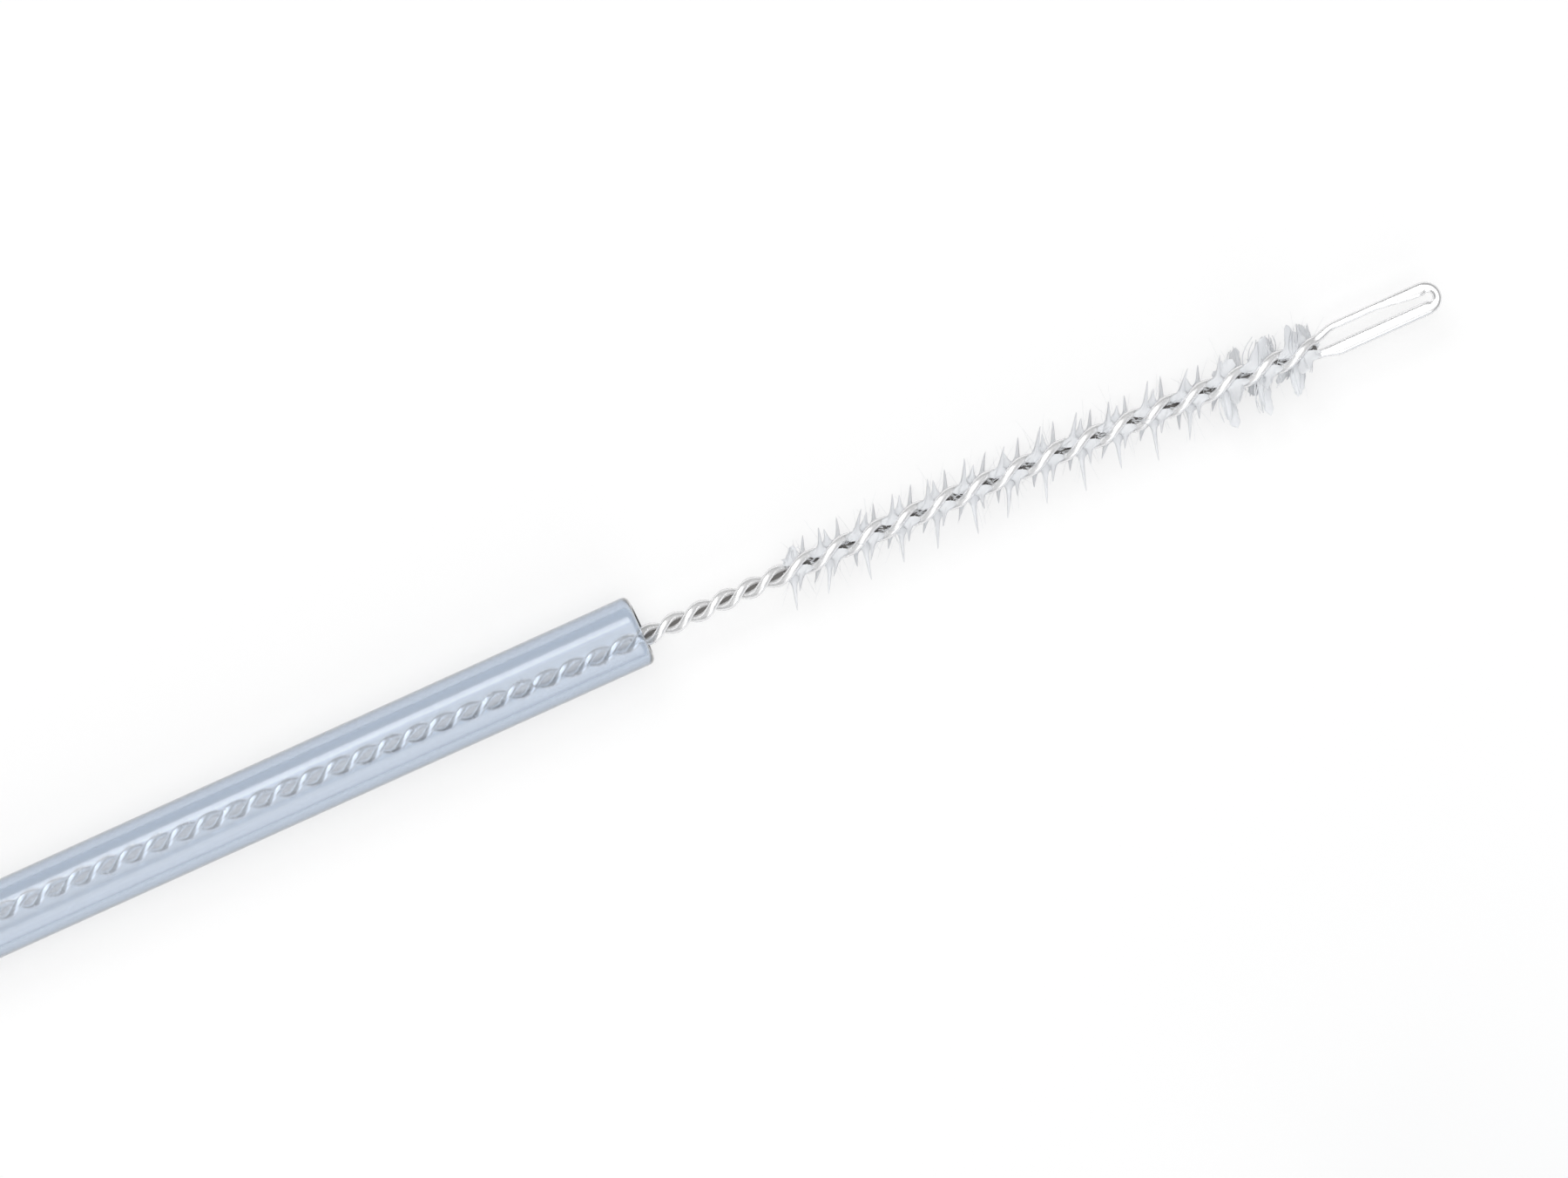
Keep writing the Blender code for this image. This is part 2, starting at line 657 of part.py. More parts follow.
def nose(materials, parent):
    """Nose cap, strain relief, ferrule and the sheath's end inside them."""
    spigot = SPIGOT_RADIUS + SEAT_GAP * 2
    back = -SEAT_GAP * 2
    shoulder = RELIEF_BACK - RELIEF_SEAT - SEAT_GAP
    hole = RELIEF_ROOT + SEAT_GAP * 2
    seat = RELIEF_FLANGE + SEAT_GAP * 2
    spigot_end = -SPIGOT_LENGTH - SEAT_GAP
    cap = [
        (back, spigot), (back, CAP_RADIUS - CAP_EDGE), (back - CAP_EDGE, CAP_RADIUS),
        (-SPIGOT_LENGTH - CAP_SHOULDER, CAP_RADIUS), (-CAP_LENGTH + CAP_EDGE, CAP_NOSE),
        (-CAP_LENGTH, CAP_NOSE - CAP_EDGE), (-CAP_LENGTH, hole), (shoulder, hole),
        (shoulder, seat), (spigot_end, seat), (spigot_end, spigot),
    ]
    add("nose_cap", turned("nose_cap", cap, CAP_SIDES), materials["white"], parent)

    bore = SHEATH_RADIUS + SEAT_GAP * 2
    mouth = -CAP_LENGTH - END_PLAY
    sleeve = [
        (RELIEF_BACK, bore), (RELIEF_BACK, RELIEF_FLANGE), (RELIEF_BACK - RELIEF_SEAT, RELIEF_FLANGE),
        (RELIEF_BACK - RELIEF_SEAT, RELIEF_ROOT), (mouth, RELIEF_ROOT),
    ]
    for rib in range(RELIEF_RIBS):
        start = rib / RELIEF_RIBS
        wide = RELIEF_ROOT + (RELIEF_TIP - RELIEF_ROOT) * start
        for share, depth in RIB_SHAPE:
            x = mouth - RELIEF_LENGTH * (start + share / RELIEF_RIBS)
            sleeve.append((x, max(wide - depth * RIB_DEPTH, bore + RELIEF_WALL)))
    sleeve += [(RELIEF_END, RELIEF_TIP - RELIEF_WALL), (RELIEF_END, bore)]
    add("strain_relief", turned("strain_relief", sleeve, RELIEF_SIDES), materials["grey"], parent)

    ferrule = tube_profile(
        SHEATH_SEAT - SEAT_GAP, SHEATH_SEAT - FERRULE_LENGTH,
        SHEATH_RADIUS + FERRULE_WALL, SHEATH_RADIUS + SEAT_GAP, SHEATH_LIP,
    )
    add("ferrule", turned("ferrule", ferrule, RELIEF_SIDES), materials["brass"], parent)
    end = tube_profile(SHEATH_SEAT - SEAT_GAP, RELIEF_END, SHEATH_RADIUS, SHEATH_BORE / 2, SHEATH_LIP)
    add("sheath_end", turned("sheath_end", end, RELIEF_SIDES), materials["sheath"], parent)


def build():
    """The whole instrument."""
    for leftover in list(bpy.data.objects):
        bpy.data.objects.remove(leftover, do_unlink=True)
    materials = {
        "sheath": finish("clear_blue_sheath", 0.25, (0.68, 0.76, 0.86), alpha=0.5),
        "steel": finish("bright_steel", 0.22, (0.82, 0.82, 0.83), metallic=1.0),
        "nylon": finish("white_nylon", 0.45, (0.9, 0.92, 0.94)),
        "white": finish("white_moulding", 0.4, (0.88, 0.89, 0.9)),
        "blue": finish("blue_moulding", 0.4, (0.35, 0.5, 0.68)),
        "grey": finish("grey_rubber", 0.7, (0.5, 0.53, 0.57)),
        "brass": finish("brass", 0.35, (0.78, 0.62, 0.32), metallic=1.0),
    }
    shift = (-(BOX_LOW_X + BOX_HIGH_X) / 2, -(BOX_LOW_Y + BOX_HIGH_Y) / 2, 0.0)
    table = empty("table", shift)
    mouth = empty("mouth", (0.0, 0.0, SHEATH_RADIUS), table)
    handle = empty("handle", (HANDLE_X, -HANDLE_OFFSET, HANDLE_Z), table)

    straight = tube_profile(0.0, -SHEATH_STRAIGHT, SHEATH_RADIUS, SHEATH_BORE / 2, SHEATH_LIP)
    add("sheath_distal", turned("sheath_distal", straight, SHEATH_SIDES), materials["sheath"], mouth)
    add("drive_wire", drive_wire_mesh(), materials["steel"], mouth)
    wire("brush_wire", folded_wire_path(), STRAND, 1, materials["steel"], mouth)
    tufts(materials["nylon"], mouth)

    coil = add("sheath_coil", coil_mesh(), materials["sheath"], table)
    coil.location = (COIL_X, COIL_Y, 0.0)
    wire("sheath_lead", lead_path(), SHEATH_OD, 2, materials["sheath"], table)

    nose(materials, handle)
    stem(materials["white"], handle)
    spool_piece = spool(materials["blue"], handle)
    clamp_parts(materials, handle, spool_piece)


build()
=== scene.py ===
"""Looks of the cytology brush: fine wire, bristles, clear sheath and handle finishes.

Everything is in metres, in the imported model's frame. The brush and its wire are drawn in the mouth
frame: origin in the sheath's mouth, +X towards the tip. The camera looks straight down.
"""
import json
import math
import random

import bpy
import numpy as np
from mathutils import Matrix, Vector


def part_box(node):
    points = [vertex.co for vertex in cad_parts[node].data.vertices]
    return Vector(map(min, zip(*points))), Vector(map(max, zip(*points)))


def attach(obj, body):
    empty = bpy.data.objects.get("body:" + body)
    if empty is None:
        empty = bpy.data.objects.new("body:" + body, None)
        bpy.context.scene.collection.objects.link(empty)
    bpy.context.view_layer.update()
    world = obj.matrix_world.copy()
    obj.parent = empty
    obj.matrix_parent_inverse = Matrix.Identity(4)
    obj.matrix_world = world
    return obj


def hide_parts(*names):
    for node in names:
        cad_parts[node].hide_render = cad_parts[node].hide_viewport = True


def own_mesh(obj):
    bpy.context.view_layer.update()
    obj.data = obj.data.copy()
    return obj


MM = 0.001
SHARP_ANGLE = math.radians(50)

# Photograph: where things lie in it
PHOTO_WIDTH = 1800
PHOTO_HEIGHT = 1352
PIXELS_PER_MM = 46.6
MOUTH_PIXEL = (736.5, 721.5)
SHEATH_TILT = math.radians(24.3)
LENS = 100.0
SENSOR = 36.0

# Stage
FLOOR_HALF = 4.0
FLOOR_DROP = 0.01 * MM
FLOOR_GLOW_MIRRORED = 0.66
FLOOR_GLOW_THROUGH = 0.08
KEY_PLACE = (0.04, 0.0, 0.45)
KEY_SIZE = 0.50
KEY_RADIANCE = 1.25
STRIP_DISTANCE = 0.34
STRIP_BACK = -0.03
STRIP_LENGTH = 0.22
STRIPS = (("strip_left", 43, 0.12, 3.3), ("strip_right", -62, 0.25, 1.8))

# Sheath
SHEATH_RADIUS = 0.9 * MM
BORE_RADIUS = 0.65 * MM
LIP_OUTER = 0.17 * MM
LIP_INNER = 0.05 * MM
SHEATH_STRAIGHT = 40.0 * MM
SHEATH_SIDES = 96
LIP_STEPS = 6

# Coil: the upper layer is wound inwards, then the lower one outwards to the straight stretch
COIL_MEAN = 17.0 * MM
LAYER_RISE = 2 * SHEATH_RADIUS * math.sin(math.radians(60))
EXIT_LANE = COIL_MEAN + 4 * SHEATH_RADIUS
ENTRY_LANE = EXIT_LANE - SHEATH_RADIUS
LEAD_STRAIGHT = 2.5 * MM
LEAD_SAG = 0.25 * MM
FACE_GAP = 0.3 * MM
LEAD_STEPS = 8
TURN_STEP = 6
CROSSOVER = 40
CROSSOVER_HUMP = 0.26 * MM
PATH_STEP = 1.5 * MM
CORD_SIDES = 20

# Wire
STRAND_RADIUS = 0.11 * MM
BARE_RADIUS = 0.155 * MM
BRUSH_RADIUS = 0.18 * MM
BARE_PITCH = 1.38 * MM
BRUSH_PITCH = 1.93 * MM
BRUSH_START = 3.7 * MM
LOOP_START = 18.0 * MM
LOOP_LENGTH = 3.35 * MM
LOOP_HALF = 0.31 * MM
LEG_SPREAD = 0.6 * MM
PART_RAMP = 0.8 * MM
WIRE_OFFSET = 0.20 * MM
WIRE_BOW = 0.33 * MM
BOW_START = 5.0 * MM
WIRE_TAIL = 3.0 * MM
DRIFT_START = -1.5 * MM
WIRE_DRIFT = 0.35 * MM
DRIFT_LENGTH = 20.0 * MM
TIP_CENTRE = LOOP_START + LOOP_LENGTH - STRAND_RADIUS - LOOP_HALF
UPPER_LEG = 0.10 * MM
LOWER_LEG = 0.175 * MM
TIP_FLARE = 0.17 * MM
FLARE_LENGTH = 1.3 * MM
LEG_EDGE = LOOP_HALF + STRAND_RADIUS
LEG_STEP = 0.12 * MM
TIP_STEPS = 20
GROOVE_THICK = 0.02 * MM
# From here on the groove web is dark, painted shade; behind it, inside the sheath, pale, painted light.
PAINTED_SHADE_FROM = -0.4 * MM
GROOVE_GAP = 0.15 * MM
GROOVE_STEPS = 16
WIRE_STEPS = 24
WIRE_SIDES = 14
DRIVE_SIDES = 12
CORE_STEPS = 7
CORE_SIDES = 6
# How metallic the wire looks is the sum of two steps along it: from, to, value before and after
METAL_STEPS = ((-0.5 * MM, 0.5 * MM, 0.85, 0.45), (LOOP_START, LOOP_START + 0.4 * MM, 0.0, 0.2))

# Handle: the solid model's sizes, drawn with finer curves
HALF_HEIGHT = 4.5 * MM
COLLAR_HALF = 5.5 * MM
COLLAR_LENGTH = 5.0 * MM
COLLAR_CORNER = 2.5 * MM
COLLAR_EDGE = 0.5 * MM
SPIGOT_LENGTH = 5.0 * MM
SPIGOT_RADIUS = 3.0 * MM
SEAT_DEPTH = 2.0 * MM
SEAT_RADIUS = 1.6 * MM
GUIDE_RADIUS = 0.55 * MM
SHAFT_HALF_WIDTH = 3.5 * MM
SHAFT_HALF_HEIGHT = 2.5 * MM
SHAFT_CORNER = 0.8 * MM
SLOT_FRONT = 10.0 * MM
SLOT_REAR = 41.1 * MM
SLOT_HALF = 1.2 * MM
SLOT_CORNER = 0.1 * MM
CUT_PAST = 1.0 * MM
CUT_SIDES = 32
SHAFT_END = 46.1 * MM
NECK_LENGTH = 3.0 * MM
NECK_HALF_WIDTH = 6.3 * MM
NECK_HALF_HEIGHT = 3.4 * MM
RING_OUTER = 13.0 * MM
RING_INNER = 9.5 * MM
RING_EDGE = 1.9 * MM
RING_SIDES = 120
SPOOL_FRONT = 5.3 * MM
SPOOL_LENGTH = 18.0 * MM
SPOOL_HALF = 13.0 * MM
SPOOL_WAIST = 5.8 * MM
WAIST_HALF_HEIGHT = 4.1 * MM
FLANGE = 3.0 * MM
FLANGE_EDGE = 0.7 * MM
FLANGE_FILLET = 3.0 * MM
FLANGE_ROUNDING = 0.75
SLIDE_GAP = 0.15 * MM
SCREW_PLACES = (12.3 * MM, 16.3 * MM)
SCREW_HOLE = 0.85 * MM
CAP_LENGTH = 11.8 * MM
CAP_RADIUS = 4.4 * MM
CAP_STRAIGHT = 6.0 * MM
CAP_NOSE = 2.8 * MM
HEAD_FRONT = 7.0 * MM
HEAD_RADIUS = 2.0 * MM
FIT_GAP = 0.1 * MM
END_GAP = 0.05 * MM
CAP_SIDES = 72
RELIEF_LENGTH = 16.0 * MM
RELIEF_ROOT = 1.65 * MM
RELIEF_TIP = 1.25 * MM
RELIEF_RIBS = 5
RIB_DEPTH = 0.25 * MM
RELIEF_SIDES = 48
RELIEF_STEP = 0.3 * MM
RIB_SHAPE = ((0.45, 0.0), (0.55, 1.0), (0.9, 1.0))
SECTION_STEPS = 8
NECK_STEPS = 6
FILLET_STEPS = 12
SQUARE_STEP = 0.01 * MM
STEM_CUT_EDGE = 0.15 * MM
SPOOL_CUT_EDGE = 0.12 * MM
CAP_EDGE = 0.4 * MM
RELIEF_EDGE = 0.15 * MM

# Bristles
TUFT_GROUPS = 15
TUFT_TURNS = (-0.125, 0.0, 0.125)
TUFT_LEAN = math.radians(20.0)
TUFT_LONG = 1.12 * MM
TUFT_SHORT = 0.62 * MM
TUFT_SIDE_UP = 1.10 * MM
TUFT_SIDE_DOWN = 0.86 * MM
TUFT_SPREAD = 0.12
TUFT_BEND = 0.10 * MM
CLUMP_LENGTH = 2.6 * MM
CLUMP_WIDE = 2.5
CLUMP_BEND = 2.5
CLUMP_CURLS = 7
FIRST_CLUMP = 0.45 * MM
THORN_ROOT = 0.22 * MM
THORN_FLARE = 0.20 * MM
THORN_FALL = 0.06 * MM
THORN_WIDE = 0.062 * MM
THORN_THICK = 0.05 * MM
ROOT_THICK = 0.08 * MM
THORN_HAIRS = 12
ROOT_TURN = 0.09
HAIR_START = 0.08 * MM
GATHER_START = 0.1 * MM
GATHER_LENGTH = 0.25 * MM
HAIR_RADIUS = 0.010 * MM
HAIR_POINT = 0.005 * MM
BODY_START = 0.08 * MM
BODY_POINT = 0.008 * MM
BODY_STEPS = 14
BODY_SIDES = 12
HAIR_STEPS = 8
HAIR_SIDES = 5
HALO_HAIRS = 5
HALO_RADIUS = 0.004 * MM
HALO_LEAN = 0.3
HALO_START = 0.15 * MM
HALO_STEPS = 6
FACE_REACH = 0.62 * MM
FACE_HAIRS = 8
FACE_STEPS = 5
CURL_START = 0.12 * MM
CURL_REACH = 0.25 * MM
CURL_PHASE = 2.6


def smooth_step(value):
    """0 below 0, 1 above 1, and a smooth rise between."""
    value = min(max(value, 0.0), 1.0)
    return value * value * (3 - 2 * value)


# The wire's course, in the mouth frame

def wire_side(x):
    """How far the wire's middle lies to the side of the sheath's axis. It wanders in the sheath."""
    along = min(max((x - BOW_START) / (LOOP_START - BOW_START), 0.0), 1.0)
    inside = min(max((DRIFT_START - x) / DRIFT_LENGTH, 0.0), 1.0)
    return -WIRE_OFFSET - WIRE_BOW * along ** 2 + WIRE_DRIFT * math.sin(inside * math.pi / 2)


def twist_angle(x):
    """The first strand's angle round the wire, from +Y towards +Z. The twist is left-handed."""
    brush_turns = (LOOP_START - max(x, BRUSH_START)) / BRUSH_PITCH
    bare_turns = max(BRUSH_START - x, 0.0) / BARE_PITCH
    return math.tau * (brush_turns + bare_turns)


def twist_radius(x):
    """From the wire's middle to a strand's middle."""
    share = smooth_step((x - BRUSH_START) / PART_RAMP + 0.5)
    return BARE_RADIUS + (BRUSH_RADIUS - BARE_RADIUS) * share


def strand_point(x, half_turn):
    """The middle of one strand in the twisted stretch."""
    angle = twist_angle(x) + math.pi * half_turn
    radius = twist_radius(x)
    return (x, wire_side(x) + radius * math.cos(angle), radius * math.sin(angle))


def leg_point(x, side):
    """The middle of one leg of the loop."""
    share = smooth_step((x - LOOP_START) / LEG_SPREAD)
    return (x, wire_side(x) + side * (BRUSH_RADIUS + (LOOP_HALF - BRUSH_RADIUS) * share), 0.0)


def shifted(point, side):
    """A point moved to the side of the sheath's axis."""
    return (point[0], point[1] + side, point[2])


def even(start, end, step):
    """Numbers from start to end, about one step apart."""
    count = max(1, round((end - start) / step))
    return [start + (end - start) * i / count for i in range(count + 1)]


# Meshes

def across_and_up(path, upright=(0.0, 0.0, 1.0)):
    """At each point of a path, the direction across it and upright, and the one above it."""
    path = np.asarray(path, float)
    along = np.gradient(path, axis=0)
    along /= np.linalg.norm(along, axis=1)[:, None]
    across = np.cross(along, upright)
    across /= np.linalg.norm(across, axis=1)[:, None]
    return across, np.cross(across, along)


def rings_along(path, wide, high, sides, upright=(0.0, 0.0, 1.0)):
    """Rings of points round a path, wide across it and high above it."""
    path = np.asarray(path, float)
    across, up = across_and_up(path, upright)
    wide = np.broadcast_to(wide, len(path))
    high = np.broadcast_to(high, len(path))
    turn = math.tau * np.arange(sides) / sides
    return (
        path[:, None, :]
        + across[:, None, :] * (wide[:, None] * np.cos(turn))[:, :, None]
        - up[:, None, :] * (high[:, None] * np.sin(turn))[:, :, None]
    )


def skin(rings, caps=True, loop=False):
    """Points and faces of the surface through rings. Caps close its ends; loop joins them."""
    count, sides = rings.shape[:2]
    points = rings.reshape(-1, 3)
    faces = []
    last = count if loop else count - 1
    for i in range(last):
        near, far = i * sides, (i + 1) % count * sides
        for j in range(sides):
            k = (j + 1) % sides
            faces.append((near + j, near + k, far + k, far + j))
    if caps and not loop:
        faces.append(tuple(range(sides))[::-1])
        faces.append(tuple((count - 1) * sides + j for j in range(sides)))
    return points, faces


def piece(name, parts, finish, offset=(0.0, 0.0, 0.0)):
    """One object from several (points, faces), shaded smooth."""
    points, faces = [], []
    start = 0
    for some_points, some_faces in parts:
        points.append(np.asarray(some_points, float) + np.asarray(offset, float))
        faces += [tuple(start + i for i in face) for face in some_faces]
        start += len(some_points)
    mesh = bpy.data.meshes.new(name)
    mesh.from_pydata(np.concatenate(points).tolist(), [], faces)
    mesh.validate()
    mesh.shade_smooth()
    mesh.set_sharp_from_angle(angle=SHARP_ANGLE)
    mesh.materials.append(finish)
    made = bpy.data.objects.new(name, mesh)
    bpy.context.collection.objects.link(made)
    return made


def turned(profile, sides):
    """A closed profile of (along, radius) points turned round the X axis."""
    area = sum(a[0] * b[1] - b[0] * a[1] for a, b in zip(profile, profile[1:] + profile[:1]))
    if area < 0:
        profile = profile[::-1]
    rings = []
    for i in range(sides):
        turn = math.tau * i / sides
        rings.append([(x, r * math.cos(turn), r * math.sin(turn)) for x, r in profile])
    return skin(np.array(rings), loop=True)


def softened(outline, radius, steps=4):
    """A closed outline with its corners rounded."""
    points = [np.array(point) for point in outline]
    curve = []
    for before, corner, after in zip(points[-1:] + points[:-1], points, points[1:] + points[:1]):
        ends = []
        for other in (before, after):
            length = np.linalg.norm(other - corner)
            ends.append(corner + (other - corner) / length * min(radius, length * 0.45))
        for i in range(steps + 1):
            t = i / steps
            curve.append((1 - t) ** 2 * ends[0] + 2 * t * (1 - t) * corner + t ** 2 * ends[1])
    return curve


def section(x, half_width, half_height, corner):
    """A rectangle with round corners, standing across the X axis."""
    points = []
    for quarter, (side, rise) in enumerate(((1, 1), (-1, 1), (-1, -1), (1, -1))):
        for step in range(SECTION_STEPS + 1):
            turn = math.radians(90 * (quarter + step / SECTION_STEPS))
            points.append((
                x,
                side * (half_width - corner) + corner * math.cos(turn),
                rise * (half_height - corner) + corner * math.sin(turn),
            ))
    return points


def rod(profile, sides, upright=False):
    """A solid turned piece along X, or upright, closed by a flat face at each end."""
    turn = -math.tau * np.arange(sides) / sides
    rings = np.array([
        np.stack([np.full(sides, x), -radius * np.cos(turn), radius * np.sin(turn)], axis=1)
        for x, radius in profile
    ])
    points, faces = skin(rings)
    return (points[:, [1, 2, 0]] if upright else points), faces


def carved(made, others, edge):
    """A piece with other shapes joined to it or cut away, its sharp edges softened."""
    for other, operation in others:
        change = made.modifiers.new(other.name, "BOOLEAN")
        change.solver = "EXACT"
        change.operation = operation
        change.object = other
    soften = made.modifiers.new("soften", "BEVEL")
    soften.width = edge
    soften.segments = 3
    soften.limit_method = "ANGLE"
    soften.angle_limit = SHARP_ANGLE
    seen = made.evaluated_get(bpy.context.evaluated_depsgraph_get())
    mesh = bpy.data.meshes.new_from_object(seen)
    made.modifiers.clear()
    made.data = mesh
    mesh.shade_smooth()
    mesh.set_sharp_from_angle(angle=SHARP_ANGLE)
    for other, _ in others:
        bpy.data.objects.remove(other, do_unlink=True)
    return made


# Materials

def material(name):
    """An empty node material with its shader."""
    made = bpy.data.materials.new(name)
    made.use_nodes = True
    return made, made.node_tree.nodes, made.node_tree.links, made.node_tree.nodes["Principled BSDF"]


def noise(nodes, links, place, scale, detail):
    """A noise over the object's own coordinates."""
    made = nodes.new("ShaderNodeTexNoise")
    made.inputs["Scale"].default_value = scale
    made.inputs["Detail"].default_value = detail
    links.new(place.outputs["Object"], made.inputs["Vector"])
    return made.outputs["Fac"]


def ranged(nodes, links, source, low, high, start=0.0, end=1.0):
    """A value that goes from low to high while its source goes from start to end."""
    made = nodes.new("ShaderNodeMapRange")
    made.inputs["From Min"].default_value = start
    made.inputs["From Max"].default_value = end
    made.inputs["To Min"].default_value = low
    made.inputs["To Max"].default_value = high
    links.new(source, made.inputs["Value"])
    return made.outputs["Result"]


def clouded(nodes, links, shader, source, darker, lighter):
    """A colour that wanders between two near ones."""
    tint = nodes.new("ShaderNodeMix")
    tint.data_type = "RGBA"
    tint.inputs["A"].default_value = (*darker, 1.0)
    tint.inputs["B"].default_value = (*lighter, 1.0)
    links.new(source, tint.inputs["Factor"])
    links.new(tint.outputs["Result"], shader.inputs["Base Color"])


def bumped(nodes, links, shader, source, strength, distance):
    """A fine bump from a value over the surface."""
    bump = nodes.new("ShaderNodeBump")
    bump.inputs["Strength"].default_value = strength
    bump.inputs["Distance"].default_value = distance
    links.new(source, bump.inputs["Height"])
    links.new(bump.outputs["Normal"], shader.inputs["Normal"])


def steel_finish(mouth_x):
    """Bright drawn wire: fine scratches and uneven gloss, paler between the bristles."""
    made, nodes, links, shader = material("bright_steel")
    shader.inputs["Base Color"].default_value = (0.97, 0.97, 0.975, 1.0)
    shader.inputs["Specular IOR Level"].default_value = 0.3
    place = nodes.new("ShaderNodeTexCoord")
    split = nodes.new("ShaderNodeSeparateXYZ")
    links.new(place.outputs["Object"], split.inputs["Vector"])
    metal = nodes.new("ShaderNodeMath")
    for i, (start, end, low, high) in enumerate(METAL_STEPS):
        step = ranged(nodes, links, split.outputs["X"], low, high, mouth_x + start, mouth_x + end)
        links.new(step, metal.inputs[i])
    links.new(metal.outputs["Value"], shader.inputs["Metallic"])
    grain = noise(nodes, links, place, scale=9000.0, detail=4.0)
    links.new(ranged(nodes, links, grain, low=0.16, high=0.34), shader.inputs["Roughness"])
    bumped(nodes, links, shader, grain, strength=0.12, distance=0.01 * MM)
    return made


def painted_web_finish(name, grey):
    """Flat grey for the web in the wire's grooves: painted shade when dark, painted light when pale."""
    made, _, _, shader = material(name)
    shader.inputs["Base Color"].default_value = (grey, grey * 0.96, grey * 0.93, 1.0)
    shader.inputs["Roughness"].default_value = 0.7
    return made


def nylon_finish():
    """White translucent nylon, a little cool."""
    made, nodes, links, shader = material("white_nylon")
    place = nodes.new("ShaderNodeTexCoord")
    cloud = noise(nodes, links, place, scale=2500.0, detail=3.0)
    clouded(nodes, links, shader, cloud, darker=(0.78, 0.80, 0.83), lighter=(0.91, 0.92, 0.935))
    shader.inputs["Roughness"].default_value = 0.35
    shader.inputs["Specular IOR Level"].default_value = 0.15
    return made


def sheath_finish():
    """Clear bluish plastic, slightly milky."""
    made, nodes, links, shader = material("clear_blue_sheath")
    shader.inputs["Base Color"].default_value = (0.955, 0.975, 1.0, 1.0)
    shader.inputs["Transmission Weight"].default_value = 1.0
    shader.inputs["IOR"].default_value = 1.4
    shader.inputs["Roughness"].default_value = 0.15
    shader.inputs["Coat Weight"].default_value = 1.0
    shader.inputs["Coat IOR"].default_value = 1.65
    shader.inputs["Coat Roughness"].default_value = 0.2
    tint = nodes.new("ShaderNodeVolumeAbsorption")
    tint.inputs["Color"].default_value = (0.34, 0.47, 0.63, 1.0)
    tint.inputs["Density"].default_value = 1400.0
    links.new(tint.outputs["Volume"], nodes["Material Output"].inputs["Volume"])
    return made


def moulding_finish(name, lighter, darker, roughness):
    """Satin moulded plastic: faint clouding, fine texture and slightly uneven gloss."""
    made, nodes, links, shader = material(name)
    place = nodes.new("ShaderNodeTexCoord")
    cloud = noise(nodes, links, place, scale=90.0, detail=3.0)
    clouded(nodes, links, shader, cloud, darker, lighter)
    texture = noise(nodes, links, place, scale=4000.0, detail=2.0)
    gloss = ranged(nodes, links, texture, roughness - 0.07, roughness + 0.07)
    links.new(gloss, shader.inputs["Roughness"])
    bumped(nodes, links, shader, texture, strength=0.2, distance=0.02 * MM)
    return made


def brass_finish():
    """Turned brass: fine rings round its axis."""
    made, nodes, links, shader = material("turned_brass")
    shader.inputs["Base Color"].default_value = (0.74, 0.56, 0.28, 1.0)
    shader.inputs["Metallic"].default_value = 1.0
    place = nodes.new("ShaderNodeTexCoord")
    rings = nodes.new("ShaderNodeTexWave")
    rings.bands_direction = "X"
    rings.inputs["Scale"].default_value = 3000.0
    rings.inputs["Distortion"].default_value = 1.5
    links.new(place.outputs["Object"], rings.inputs["Vector"])
    gloss = ranged(nodes, links, rings.outputs["Fac"], low=0.25, high=0.4)
    links.new(gloss, shader.inputs["Roughness"])
    return made


def floor_finish():
    """A pale floor that shows white and keeps the object's shadow."""
    made, nodes, links, shader = material("pale_floor")
    shader.inputs["Base Color"].default_value = (0.35, 0.35, 0.35, 1.0)
    shader.inputs["Roughness"].default_value = 0.9
    shader.inputs["Specular IOR Level"].default_value = 0.0
    shader.inputs["Emission Color"].default_value = (1.0, 1.0, 1.0, 1.0)
    rays = nodes.new("ShaderNodeLightPath")
    seen = nodes.new("ShaderNodeMath")
    seen.operation = "MAXIMUM"
    links.new(rays.outputs["Is Camera Ray"], seen.inputs[0])
    links.new(rays.outputs["Is Glossy Ray"], seen.inputs[1])
    mirrored = nodes.new("ShaderNodeMath")
    mirrored.operation = "MULTIPLY"
    mirrored.inputs[1].default_value = FLOOR_GLOW_MIRRORED
    links.new(seen.outputs["Value"], mirrored.inputs[0])
    through = nodes.new("ShaderNodeMath")
    through.operation = "MULTIPLY_ADD"
    through.inputs[1].default_value = FLOOR_GLOW_THROUGH
    links.new(rays.outputs["Is Transmission Ray"], through.inputs[0])
    links.new(mirrored.outputs["Value"], through.inputs[2])
    links.new(through.outputs["Value"], shader.inputs["Emission Strength"])
    return made


# Stage

def set_world():
    """Soft white light from above, dimmer near the horizon; white where the camera sees it."""
    world = bpy.data.worlds.new("studio")
    bpy.context.scene.world = world
    world.use_nodes = True
    nodes, links = world.node_tree.nodes, world.node_tree.links
    soft = nodes["Background"]
    soft.inputs["Color"].default_value = (1.0, 1.0, 1.0, 1.0)
    place = nodes.new("ShaderNodeTexCoord")
    split = nodes.new("ShaderNodeSeparateXYZ")
    links.new(place.outputs["Generated"], split.inputs["Vector"])
    rise = ranged(nodes, links, split.outputs["Z"], low=0.09, high=0.6, start=0.3, end=0.95)
    links.new(rise, soft.inputs["Strength"])
    white = nodes.new("ShaderNodeBackground")
    white.inputs["Color"].default_value = (1.0, 1.0, 1.0, 1.0)
    white.inputs["Strength"].default_value = 1.0
    rays = nodes.new("ShaderNodeLightPath")
    mix = nodes.new("ShaderNodeMixShader")
    links.new(rays.outputs["Is Camera Ray"], mix.inputs["Fac"])
    links.new(soft.outputs["Background"], mix.inputs[1])
    links.new(white.outputs["Background"], mix.inputs[2])
    links.new(mix.outputs["Shader"], nodes["World Output"].inputs["Surface"])


